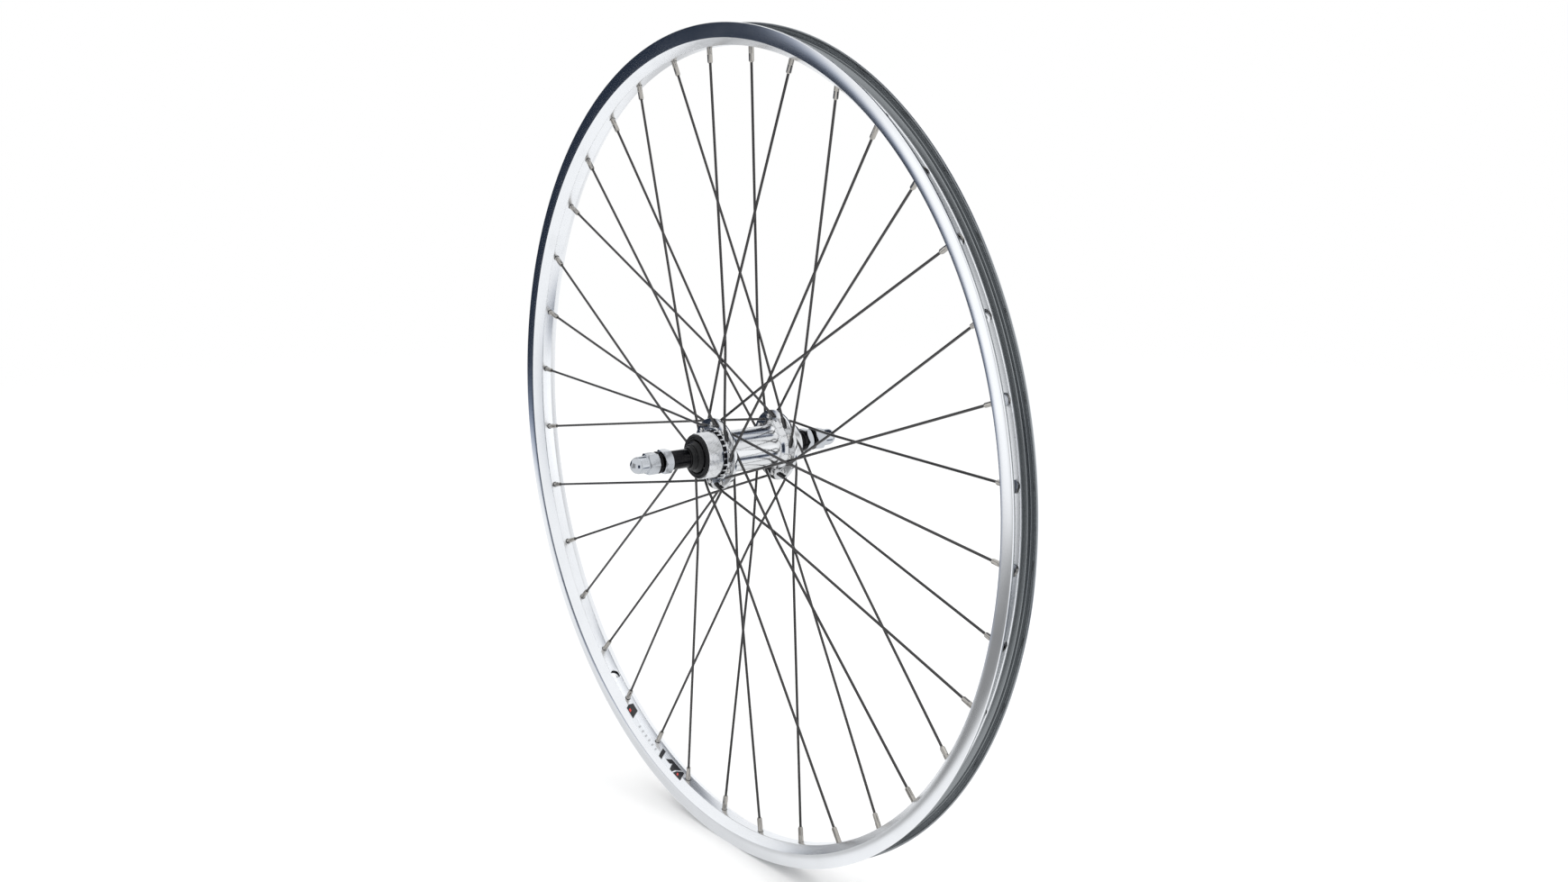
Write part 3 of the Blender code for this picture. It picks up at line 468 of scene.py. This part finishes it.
def solidPiece(name, mesh, sharpAngle):
    # a shaded object from a mesh, its doubles merged and its faces pointing out
    bm = bmesh.new()
    bm.from_mesh(mesh)
    bmesh.ops.remove_doubles(bm, verts=bm.verts, dist=mergeWithin)
    bmesh.ops.recalc_face_normals(bm, faces=bm.faces)
    bm.to_mesh(mesh)
    bm.free()
    shaded(mesh, sharpAngle)
    piece = bpy.data.objects.new(name, mesh)
    scene.collection.objects.link(piece)
    return piece


def shaded(mesh, sharpAngle):
    mesh.shade_smooth()
    mesh.set_sharp_from_angle(angle=math.radians(sharpAngle))


def evaluated(piece):
    # the mesh that an object's modifiers make
    return bpy.data.meshes.new_from_object(piece.evaluated_get(bpy.context.evaluated_depsgraph_get()))


def turned(name, outline, segments=128, sharpAngle=sharp):
    # turns (radius, distance along the axle) in mm about the axle; the outline may follow the angle
    angles = segments if isinstance(segments, list) else [360 * i / segments for i in range(segments)]
    angles = angles + [angles[0] + 360]
    points = []
    for angle in angles:
        row = outline(angle) if callable(outline) else outline
        rows = len(row)
        sine, cosine = math.sin(math.radians(angle)), math.cos(math.radians(angle))
        points += [(r * mm * sine, y * mm, r * mm * cosine) for r, y in row]
    solid = row[0][0] == 0 and row[-1][0] == 0
    faces = []
    for i in range(len(angles) - 1):
        a, b = i * rows, (i + 1) * rows
        for j in range(rows - 1 if solid else rows):
            k = (j + 1) % rows
            faces.append((a + j, a + k, b + k, b + j))
    mesh = bpy.data.meshes.new(name)
    mesh.from_pydata(points, [], faces)
    return solidPiece(name, mesh, sharpAngle)


def side(which, outline):
    return [(r, which * y) for r, y in outline]


def cutBy(piece, cutter, sharpAngle):
    # takes the cutter out of the piece and removes it
    cut = piece.modifiers.new("cut", "BOOLEAN")
    cut.object = cutter
    cut.solver = "MANIFOLD"
    mesh = evaluated(piece)
    piece.modifiers.clear()
    piece.data = mesh
    shaded(mesh, sharpAngle)
    bpy.data.objects.remove(cutter)


def hexRadius(angle, acrossFlats, ease):
    # how far a hexagon with eased corners reaches at an angle
    off = math.radians(abs((angle + 30) % 60 - 30))
    flat = acrossFlats / 2
    if flat * math.tan(off) <= (flat - ease) * math.tan(math.pi / 6):
        return flat / math.cos(off)
    corner = (flat - ease) / math.cos(math.pi / 6)
    across = corner * math.sin(math.pi / 6 - off)
    return corner * math.cos(math.pi / 6 - off) + math.sqrt(max(ease * ease - across * across, 0))


# degrees at which a hexagon is drawn, closer together round its corners
hexAngles = [60 * i + j for i in range(6)
             for j in (-30, -29, -28, -27, -25.5, -22, -16, -8, 0, 8, 16, 22, 25.5, 27, 28, 29)]


def hexRows(angle, near, far, acrossFlats, face, ease=0.35, slope=0.5):
    # the outside of a nut from one face to the other, chamfered by cones so that arcs show on the flats
    reach = hexRadius(angle, acrossFlats, ease)
    drop = (reach - face) * slope
    return [(face, near), (reach, near + drop), (reach, far - drop), (face, far)]


def threadRows(angle, start, end, crest, depth, pitch):
    # rows that follow the helix of a V thread between two ends, which share one count of rows
    rows = []
    low, high = min(start, end), max(start, end)
    turns = int((high - low) / pitch) + 2
    for i in range(turns):
        base = low + (i - 1 + angle / 360) * pitch
        for share, radius in ((0.0, crest - depth), (0.12, crest - depth), (0.5, crest), (0.62, crest)):
            y = base + share * pitch
            rows.append((radius if low < y < high else crest - depth, min(max(y, low), high)))
    return rows if start < end else rows[::-1]


def newTree(name, fields):
    # a node group with named inputs; fields maps a name to a socket type and a default
    tree = bpy.data.node_groups.new(name, "GeometryNodeTree")
    tree.interface.new_socket("Geometry", in_out="INPUT", socket_type="NodeSocketGeometry")
    for label, (kind, value) in fields.items():
        socket = tree.interface.new_socket(label, in_out="INPUT", socket_type=kind)
        if value is not None:
            socket.default_value = value
    tree.interface.new_socket("Geometry", in_out="OUTPUT", socket_type="NodeSocketGeometry")
    start = Shade(tree, tree.nodes.new("NodeGroupInput").outputs[0])
    return tree, start, {label: start.out(label) for label in fields}


def closeTree(shape, look):
    real = shape.node("GeometryNodeRealizeInstances", {}, {"Geometry": shape})
    real = real.node("GeometryNodeSetMaterial", {}, {"Geometry": real, "Material": look})
    shape.node("NodeGroupOutput", {}, {0: real})


def wireTree():
    # sweeps a round wire along each curve
    tree, lines, sizes = newTree("swept wire", {
        "Wire Radius": ("NodeSocketFloat", 0.001), "Sides": ("NodeSocketInt", 12),
        "Finish": ("NodeSocketMaterial", None)})
    ring = lines.node("GeometryNodeCurvePrimitiveCircle", {},
                      {"Resolution": sizes["Sides"], "Radius": sizes["Wire Radius"]})
    swept = lines.node("GeometryNodeCurveToMesh", {},
                       {"Curve": lines, "Profile Curve": ring, "Fill Caps": True})
    closeTree(swept, sizes["Finish"])
    return tree


def copyTree():
    # sets a copy of one shape on every point, its Z along the point's "facing"
    tree, points, sizes = newTree("copies on points", {
        "Shape": ("NodeSocketObject", None), "Finish": ("NodeSocketMaterial", None)})
    shape = points.node("GeometryNodeObjectInfo", {}, {"Object": sizes["Shape"]}, "Geometry")
    facing = points.node("GeometryNodeInputNamedAttribute", {"data_type": "FLOAT_VECTOR"},
                         {"Name": "facing"})
    turn = points.node("FunctionNodeAlignRotationToVector", {"axis": "Z"}, {"Vector": facing})
    placed = points.node("GeometryNodeInstanceOnPoints", {},
                         {"Points": points, "Instance": shape, "Rotation": turn})
    closeTree(placed, sizes["Finish"])
    return tree


trees = {"wire": wireTree(), "copies": copyTree()}


def grown(name, source, tree, values, sharpAngle=sharp):
    # runs a tree on a source object and returns the result as a plain mesh object
    worker = source.modifiers.new(name, "NODES")
    worker.node_group = tree
    for item in tree.interface.items_tree:
        if item.in_out == "INPUT" and item.name in values:
            worker[item.identifier] = values[item.name]
    mesh = evaluated(source)
    mesh.name = name
    bpy.data.objects.remove(source)
    return solidPiece(name, mesh, sharpAngle)


def copies(name, shape, points, facings, look="satin_alloy", sharpAngle=sharp):
    # copies of one shape at points in metres, each one's Z along its facing
    mesh = bpy.data.meshes.new(name + "_points")
    mesh.from_pydata(points, [], [])
    facing = mesh.attributes.new("facing", "FLOAT_VECTOR", "POINT")
    for value, way in zip(facing.data, facings):
        value.vector = way
    source = bpy.data.objects.new(name + "_points", mesh)
    scene.collection.objects.link(source)
    piece = grown(name, source, trees["copies"], {"Shape": shape, "Finish": finishes[look][0]}, sharpAngle)
    bpy.data.objects.remove(shape)
    return piece


def upright(name, outline, segments=24):
    # a turned shape whose axis is Z, as a shape to copy
    shape = turned(name, outline, segments)
    shape.data.transform(Matrix.Rotation(math.pi / 2, 4, "X"))
    return shape


# radii and widths in mm, the first spoke's angle in degrees
lacing = {"count": 36, "crosses": 3, "firstAngle": -6.0, "wire": 1.0, "wireSides": 12, "holeCircle": 22.5,
          "seat": 301.8, "stagger": 0.5, "flangeWall": 3.0, "gap": 0.3, "flangeEdge": 27.25,
          "driveFlange": 20.3, "otherFlange": 37.8, "headSteps": 7, "headTurn": 15,
          "edgeEase": 4, "crossingEase": 9, "intoNipple": 3}


def polar(radius, angle, y=0.0):
    # a point in metres at an angle in degrees from +Z towards +X
    turn = math.radians(angle)
    return Vector((radius * math.sin(turn), y, radius * math.cos(turn))) * mm


def spokeRun(index):
    # the bends of one spoke from under its head to its nipple, and the way that its head faces
    hub = drive if index % 2 == 0 else other
    pitch = 360 / lacing["count"]
    angle = lacing["firstAngle"] - index * pitch
    lean = 1 if index // 2 % 2 == 0 else -1
    face = -lean
    outerFace = lacing["driveFlange"] if hub == drive else lacing["otherFlange"]
    flange = hub * (outerFace - lacing["flangeWall"] / 2)
    hole = polar(lacing["holeCircle"], angle + lean * lacing["crosses"] * 2 * pitch)
    seat = polar(lacing["seat"], angle, hub * lacing["stagger"])
    flat = polar(lacing["seat"], angle)
    offset = lacing["wire"] + lacing["gap"]

    def shaftY(which):
        return flange + which * (lacing["flangeWall"] / 2 + offset)

    def along(share, y):
        at = hole.lerp(flat, share)
        return Vector((at.x, y * mm, at.z))

    rimPart = lacing["seat"] * math.sin(math.radians(pitch))
    hubPart = lacing["holeCircle"] * math.sin(math.radians(lacing["crosses"] * 2 * pitch - pitch))
    share = hubPart / (rimPart + hubPart)
    level = sum(shaftY(f) * (1 - share) + hub * lacing["stagger"] * share for f in (-1, 1)) / 2
    crossing = along(share, level - face * (lacing["wire"] + lacing["gap"] / 2))
    edge = math.sqrt((lacing["flangeEdge"] + 2 * lacing["wire"])**2 - lacing["holeCircle"]**2 * 0.75)
    clear = along((edge - lacing["holeCircle"] * 0.5) * mm / (flat - hole).length, shaftY(face))

    out = Vector((0, face, 0))
    start = Vector((hole.x, shaftY(face) * mm, hole.z))
    onward = (clear - start).normalized()
    nearFace = hole + Vector((0, flange * mm, 0)) + out * lacing["flangeWall"] / 2 * mm
    head = nearFace - out * (lacing["flangeWall"] + lacing["gap"]) * mm
    run = [head]
    for i in range(lacing["headSteps"]):
        bend = math.radians(lacing["headTurn"] * i)
        run.append(nearFace + offset * mm * ((1 - math.cos(bend)) * onward + math.sin(bend) * out))
    run += eased(run[-1], clear, crossing, lacing["edgeEase"] * mm)
    run += eased(clear, crossing, seat, lacing["crossingEase"] * mm)
    axis = (seat - crossing).normalized()
    run.append(seat - axis * lacing["intoNipple"] * mm)
    return {"hub": hub, "run": run, "head": head, "headFacing": -out, "seat": seat, "axis": axis,
            "flangeHole": hole + Vector((0, flange * mm, 0))}


def eased(before, here, after, reach, steps=4):
    # a bend drawn as a short curve
    first = here + (before - here).normalized() * reach
    last = here + (after - here).normalized() * reach
    return [(1 - t)**2 * first + 2 * t * (1 - t) * here + t * t * last
            for t in (i / steps for i in range(steps + 1))]


spokes = [spokeRun(i) for i in range(lacing["count"])]
spokeNodes = {"drive": [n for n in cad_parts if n.startswith("spoke_drive_")],
              "other": [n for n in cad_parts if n.startswith("spoke_other_")]}


# radii and half widths in mm
rim = {"bed": 300.2, "bedHalf": 4.2, "half": 11.0, "track": 305.5, "lip": 316.5, "wall": 1.6, "hook": 0.6,
       "hookRadius": 314.5, "shelf": 311.0, "shelfWidth": 2.8, "floor": 307.0, "floorHalf": 4.5,
       "accessHole": 4.5, "nippleHole": 2.4, "holeStep": 1.8, "drillFrom": -4.6, "drillTo": 7.5,
       "valveHole": 4.25, "valveFrom": -5, "valveTo": 12, "valveSpoke": 13.5, "around": 720, "sharp": 24}


def mirrored(half):
    return half + [(r, -y) for r, y in reversed(half)]


def drillShape(name, steps, start, end, segments):
    # a stepped drill along Z; steps are a radius and where it ends
    rows = [(0, start)]
    for radius, to in steps:
        rows += [(radius, rows[-1][1]), (radius, to)]
    return upright(name, rows + [(0, end)], segments)


def makeRim():
    track, wall, lip, shelf, sharpAngle = rim["track"], rim["wall"], rim["lip"], rim["shelf"], rim["sharp"]
    inner = rim["half"] - wall
    hook = inner - rim["hook"]
    corners = [(rim["bed"], rim["bedHalf"], 1.3), (track - 0.12, rim["half"] - 0.14, 0.04),   # radius, half
               (track, rim["half"], 0.04), (lip, rim["half"], 0.6), (lip, hook, 0.6),         # width, ease
               (rim["hookRadius"], hook - 0.05, 0.35), (rim["hookRadius"] - 1.1, inner, 0.3),
               (shelf + 0.3, inner, 0.3), (shelf, inner - 0.35, 0.2),
               (shelf, inner - rim["shelfWidth"], 0.7), (rim["floor"], rim["floorHalf"], 0.9)]
    half = [(radius, width) for radius, width, ease in corners]
    eases = [ease for radius, width, ease in corners]
    body = turned("rim_extrusion", rounded(mirrored(half), eases + eases[::-1]), rim["around"], sharpAngle)
    seat = rim["bed"] + wall
    box = mirrored([(seat, rim["bedHalf"] - wall / 2), (track + wall / 2, inner), (shelf - wall, inner),
                    (rim["floor"] - wall, rim["floorHalf"] + wall / 2)])
    cutBy(body, turned("box", rounded(box, 0.5, 2), rim["around"] // 2), sharpAngle)
    drill = drillShape("drill", [(rim["nippleHole"], rim["holeStep"]), (rim["accessHole"], rim["drillTo"])],
                       rim["drillFrom"], rim["drillTo"], 40)
    seats, axes = [s["seat"] for s in spokes], [s["axis"] for s in spokes]
    cutBy(body, copies("drills", drill, seats, axes), sharpAngle)
    valve = drillShape("valve_drill", [(rim["valveHole"], rim["valveTo"])],
                       rim["valveFrom"], rim["valveTo"], 48)
    angle = lacing["firstAngle"] - rim["valveSpoke"] * 360 / lacing["count"]
    outwards = polar(1, angle).normalized()
    cutBy(body, copies("valve_hole", valve, [polar(seat, angle)], [outwards]), sharpAngle)
    fitted(body, "satin_alloy", "wheel", "rim")


makeRim()
print("rim")


# mm along the spoke from the nipple's seat, and radii; the button is the spoke's own head
nipple = {"tip": -13.1, "flats": 1.62, "body": 1.95, "flatsEnd": -6.3, "head": 2.85, "top": 2.9,
          "button": [(0, -0.15), (1.3, -0.15), (1.9, 0.28), (1.86, 0.62), (1.2, 1.12), (0, 1.22)]}


def nippleOutline(angle):
    # a round body with four flats for the spoke key, and a slotless domed head inside the rim
    off = math.radians(abs((angle + 45) % 90 - 45))
    flat = min(nipple["flats"] / math.cos(off), nipple["body"])
    tip, end, body, head, top = (nipple[name] for name in ("tip", "flatsEnd", "body", "head", "top"))
    cone = 0.7 * (body - flat)
    return [(0, tip + 0.5), (1.08, tip + 0.5), (1.15, tip + 0.05), (1.32, tip), (1.5, tip + 0.08),
            (min(nipple["flats"], flat), tip + 0.35), (flat, tip + 0.9),
            (flat, end - 0.25 - cone), (body, end), (body, 0.25), (2.15, 0.45), (head, 0.95), (head, 1.5),
            (2.45, 2.35), (1.6, top - 0.1), (0, top)]


def makeSpokes():
    for name, hub in (("drive", drive), ("other", other)):
        line = bpy.data.curves.new("run_" + name, "CURVE")
        line.dimensions = "3D"
        mine = [s for s in spokes if s["hub"] == hub]
        for one in mine:
            spline = line.splines.new("POLY")
            spline.points.add(len(one["run"]) - 1)
            for point, at in zip(spline.points, one["run"]):
                point.co = (*at, 1)
        source = bpy.data.objects.new("run_" + name, line)
        scene.collection.objects.link(source)
        wires = grown("spokes_" + name, source, trees["wire"], {
            "Wire Radius": lacing["wire"] * mm, "Sides": lacing["wireSides"],
            "Finish": finishes["drawn_stainless_painted_shade"][0]}, 50)
        fitted(wires, "drawn_stainless_painted_shade", "wheel", *spokeNodes[name])
        button = upright("button", rounded(nipple["button"], 0.3, 3, False), 20)
        heads = copies("spoke_heads_" + name, button, [s["head"] for s in mine],
                       [s["headFacing"] for s in mine], "polished_stainless", 40)
        fitted(heads, "polished_stainless", "wheel")
    shape = upright("nipple_shape", nippleOutline, [6 * i for i in range(60)])
    nipples = copies("nipples", shape, [s["seat"] for s in spokes], [s["axis"] for s in spokes],
                     "nickel_plate", 28)
    fitted(nipples, "nickel_plate", "wheel")


makeSpokes()
print("spokes and nipples")


# radii, and distances from the wheel's middle plane, in mm
hub = {"flange": 27.25, "flangeWall": 3.0, "driveFace": 20.3, "otherFace": 37.8, "barrel": 16.0,
       "flare": 19.8, "flareLength": 10.0, "flareSteps": 8,
       "thread": 17.4, "threadEnd": 35.0, "pitch": 1.058, "threadDepth": 0.5, "relief": 16.65, "stop": 23.2,
       "teeth": 24, "toothHalf": 2.0, "tooth": 19.0, "gap": 17.95, "step": 20.4, "stepFace": 21.3,
       "bore": 13.625, "through": 11.8, "housing": 52.0, "housingRoot": 18.0, "housingEnd": 14.5,
       "driveCup": 24.175, "otherCup": 41.175, "hole": 1.25, "holeFlare": 0.95, "holeReach": 2.2}


def flangeRows(face, way):
    # from a flange's outer face over its rounded edge, down the inner face and along the flare
    edge, flare, wall, barrel = hub["flange"], hub["flare"], hub["flangeWall"], hub["barrel"]
    rows = [(edge - 0.55, 0), (edge - 0.16, 0.16), (edge, 0.55),
            (edge, wall - 0.55), (edge - 0.16, wall - 0.16), (edge - 0.55, wall),
            (flare + 0.5, wall), (flare + 0.12, wall + 0.12)]
    for i in range(hub["flareSteps"] + 1):
        t = i / hub["flareSteps"]
        rows.append((barrel + (flare - barrel) * (1 - t)**3, wall + 0.3 + hub["flareLength"] * t))
    return [(r, face + way * y) for r, y in rows]


def threadedEnd(angle):
    # the freewheel's thread, its stop with the ring of teeth, and the step up to the flange
    thread, end, stop, step = hub["thread"], -hub["threadEnd"], -hub["stop"], hub["step"]
    pitch = 360 / hub["teeth"]
    tooth = abs((angle + pitch / 2) % pitch - pitch / 2) <= hub["toothHalf"]
    ring = hub["tooth"] if tooth else hub["gap"]
    return ([(hub["bore"], end), (thread - 0.7, end), (thread - 0.5, end + 0.25)]
            + threadRows(angle, end + 0.25, stop - 1.0, thread, hub["threadDepth"], hub["pitch"])
            + [(hub["relief"], stop - 0.95), (hub["relief"], stop), (ring - 0.15, stop), (ring, stop + 0.15),
               (ring, -hub["stepFace"]), (step - 0.2, -hub["stepFace"]), (step, -hub["stepFace"] + 0.2),
               (step, -hub["driveFace"] - 0.25), (step + 0.25, -hub["driveFace"])])


def housingRows():
    # the long tapered housing of the other side's bearing
    root, end, face, length = hub["housingRoot"], hub["housingEnd"], hub["otherFace"], hub["housing"]
    rows = [(root + 0.9, face), (root + 0.2, face + 0.2), (root, face + 0.8)]
    for i in range(1, 8):
        t = i / 8
        rows.append((root + (end - root) * t**1.15, face + 0.8 + (length - 0.6 - face - 0.8) * t))
    return rows + [(end, length - 0.6), (end, length - 0.15), (end - 0.15, length), (hub["bore"], length)]


def hubOutline(angle):
    inside = [(hub["bore"], hub["otherCup"]), (hub["through"], hub["otherCup"]),
              (hub["through"], -hub["driveCup"]), (hub["bore"], -hub["driveCup"])]
    return (threadedEnd(angle) + flangeRows(-hub["driveFace"], 1) + flangeRows(hub["otherFace"], -1)[::-1]
            + housingRows() + inside)


def makeHub():
    pitch, half, past = 360 / hub["teeth"], hub["toothHalf"], hub["toothHalf"] + 0.12
    angles = [pitch * i + j for i in range(hub["teeth"])
              for j in (0, half, past, 4.0, 6.0, 7.5, 9.0, 11.0, pitch - past, pitch - half)]
    shell = turned("hub_body", hubOutline, angles, 30)
    hole, wide = hub["hole"], hub["hole"] + hub["holeFlare"]
    reach, edge = hub["holeReach"], hub["holeReach"] - hub["holeFlare"]
    drill = upright("hole_drill", [(0, -reach), (wide, -reach), (hole, -edge), (hole, edge), (wide, reach),
                                   (0, reach)], 24)
    cutBy(shell, copies("flange_holes", drill, [s["flangeHole"] for s in spokes],
                        [Vector((0, 1, 0))] * len(spokes)), 30)
    fitted(shell, "polished_alloy", "wheel", "hub_shell")


makeHub()
print("hub shell")


# radii, and distances from the wheel's middle plane, in mm; outlines run radius, distance
bearings = {"circle": 9.3, "race": 3.425, "drive": 29.0, "other": 46.0, "axleBore": 5.2,
            "driveCone": 7.3, "otherCone": 8.8, "capBore": 9.4}
covers = {
    "driveCap": [(12.4, 32.6), (13.3, 32.6), (13.3, 35.3), (16.8, 35.3), (16.8, 36.1), (16.1, 37.0),
                 (15.35, 37.0), (15.0, 36.45), (14.55, 36.45), (14.2, 36.9), (13.35, 36.9),
                 (12.85, 36.15), (12.4, 36.0)],
    "otherCap": [(13.3, 52.3), (14.2, 52.3), (14.2, 53.0), (13.6, 53.3), (11.6, 53.3), (11.2, 53.0),
                 (10.6, 53.0), (10.2, 53.3), (9.4, 53.3)],
    "boot": [(7.6, 36.25), (11.8, 36.25), (12.0, 36.7), (11.9, 37.4), (11.0, 37.9), (10.3, 38.4),
             (9.5, 39.2), (9.25, 40.2), (9.75, 40.7), (9.85, 41.3), (9.5, 41.9), (8.7, 42.2),
             (8.3, 42.8), (8.2, 43.6), (7.8, 44.0), (7.6, 44.0)]}


def coneOutline(balls, body, end):
    # the race that the balls run on, then the cone's threaded body
    circle, race, bore = bearings["circle"], bearings["race"], bearings["axleBore"]
    rows = [(bore, balls - 1.5), (circle - race, balls - 1.5)]
    for i in range(7):
        turn = math.radians(180 - 15 * i)
        rows.append((circle + race * math.cos(turn), balls + race * math.sin(turn)))
    shoulder = balls + race
    return rows + [(circle, shoulder + 0.35), (body + 0.15, shoulder + 0.6), (body, shoulder + 0.8),
                   (body, end - 0.4), (body - 0.4, end), (bore, end)]


def makeBearings():
    for name, which in (("drive", drive), ("other", other)):
        outline = coneOutline(bearings[name], bearings[name + "Cone"], ends("cone_" + name)[1])
        fitted(turned("cone_threaded_" + name, side(which, outline), 96), "black_oxide", "axle_set",
               "cone_" + name)
    fitted(turned("dust_cover_drive", side(drive, rounded(covers["driveCap"], 0.25))), "moulded_black",
           "wheel", "dust_cap_drive")
    shoulder = bearings["other"] + bearings["race"] + 0.9
    sleeve = [(bearings["capBore"], shoulder), (covers["otherCap"][0][0], shoulder)]
    fitted(turned("dust_cover_other", side(other, rounded(sleeve + covers["otherCap"], 0.2))),
           "moulded_black", "wheel", "dust_cap_other")
    fitted(turned("seal_boot_drive", side(drive, rounded(covers["boot"], 0.4))), "seal_rubber", "axle_set",
           "cone_seal_drive")


makeBearings()
print("bearings, caps and cones")


# radii, lengths and widths across flats in mm
axle = {"radius": 4.9, "bore": 5.2, "pitch": 1.0, "threadDepth": 0.45, "threadStart": 60.0,
        "locknutFlats": 17.0, "locknutFace": 8.1, "nutFlats": 15.0, "nutFace": 7.1, "hexLength": 9.0,
        "dome": 6.4, "boreEnd": 86.5, "washer": 8.3, "serrations": 36, "bite": 0.28,
        "driveSpacer": 7.15, "otherSpacer": 8.6}


def axleOutline(angle):
    end, start = ends("axle")[1], axle["threadStart"]
    crest, depth, neck = axle["radius"], axle["threadDepth"], axle["radius"] - 0.15
    near = threadRows(angle, -end + 0.5, -start, crest, depth, axle["pitch"])
    far = threadRows(angle, start, end - 0.5, crest, depth, axle["pitch"])
    return ([(0, -end), (crest - 0.8, -end), (crest - depth, -end + 0.45)] + near
            + [(neck, -start + 0.3), (neck, start - 0.3)] + far
            + [(crest - depth, end - 0.45), (crest - 0.8, end), (0, end)])


def spacerOutline(radius, near, far):
    bore = axle["bore"]
    return rounded([(bore, near), (radius, near), (radius, far), (bore, far)], [0.2, 0.35, 0.35, 0.2])


def washerOutline(which, near, far):
    # radial teeth on the face that bites the frame
    bore, edge = axle["bore"], axle["washer"]

    def outline(angle):
        bite = axle["bite"] * abs(angle * axle["serrations"] / 360 % 1 - 0.5) * 2
        return side(which, [(bore + 0.1, near + axle["bite"]), (bore + 0.9, near + axle["bite"]),
                            (bore + 1.1, near + bite), (edge - 0.1, near + bite), (edge, near + bite + 0.12),
                            (edge, far - 0.2), (edge - 0.2, far), (bore + 0.1, far)])
    return outline


def locknutOutline(which, near, far):
    bore = axle["bore"]

    def outline(angle):
        rows = hexRows(angle, near, far, axle["locknutFlats"], axle["locknutFace"], 0.5, 0.55)
        return side(which, [(bore, near + 0.4), (bore + 0.4, near)] + rows
                    + [(bore + 0.5, far), (bore, far - 0.5)])
    return outline


def domeNutOutline(which, near, far):
    # blind bore, hexagon, then the dome
    bore, boreEnd, dome, hexEnd = axle["bore"], axle["boreEnd"], axle["dome"], near + axle["hexLength"]
    inside = [(0, boreEnd + 1.2), (1.2, boreEnd + 0.9), (bore - 0.3, boreEnd - 0.5), (bore, boreEnd - 1.0),
              (bore, near + 0.6), (bore + 0.6, near)]
    turns = [math.radians(9 * i) for i in range(10)]
    cap = ([(dome + 0.35, hexEnd + 0.03), (dome + 0.05, hexEnd + 0.35)]
           + [(dome * math.cos(turn), far - dome + dome * math.sin(turn)) for turn in turns] + [(0, far)])

    def outline(angle):
        rows = hexRows(angle, near, hexEnd, axle["nutFlats"], axle["nutFace"], 0.4, 0.55)
        return side(which, inside + rows + cap)
    return outline


def makeAxleSet():
    fitted(turned("axle_rod", axleOutline, 48, 40), "black_oxide", "axle_set", "axle")
    for name, which in (("drive", drive), ("other", other)):
        tube = spacerOutline(axle[name + "Spacer"], *ends("spacer_" + name))
        fitted(turned("spacer_tube_" + name, side(which, tube), 96), "black_oxide", "axle_set",
               "spacer_" + name)
        locknut = locknutOutline(which, *ends("locknut_" + name))
        fitted(turned("locknut_hex_" + name, locknut, hexAngles, 22), "zinc_plate", "axle_set",
               "locknut_" + name)
        washer = washerOutline(which, *ends("washer_" + name))
        fitted(turned("washer_serrated_" + name, washer, axle["serrations"] * 4, 22), "black_oxide",
               "washer_" + name, "washer_" + name)
        domeNut = domeNutOutline(which, *ends("dome_nut_" + name))
        fitted(turned("nut_closed_" + name, domeNut, hexAngles, 22), "zinc_plate", "nut_" + name,
               "dome_nut_" + name)


makeAxleSet()
print("axle, spacers, nuts and washers")


carriedOver = {"bearing_cup": "ground_steel", "ball_retainer": "ground_steel", "rim_sleeve": "satin_alloy"}

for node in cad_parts:
    for start, look in carriedOver.items():
        if node.startswith(start):
            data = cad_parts[node].data
            data.materials.clear()
            data.materials.append(finishes[look][0])
print("carried-over nodes finished")
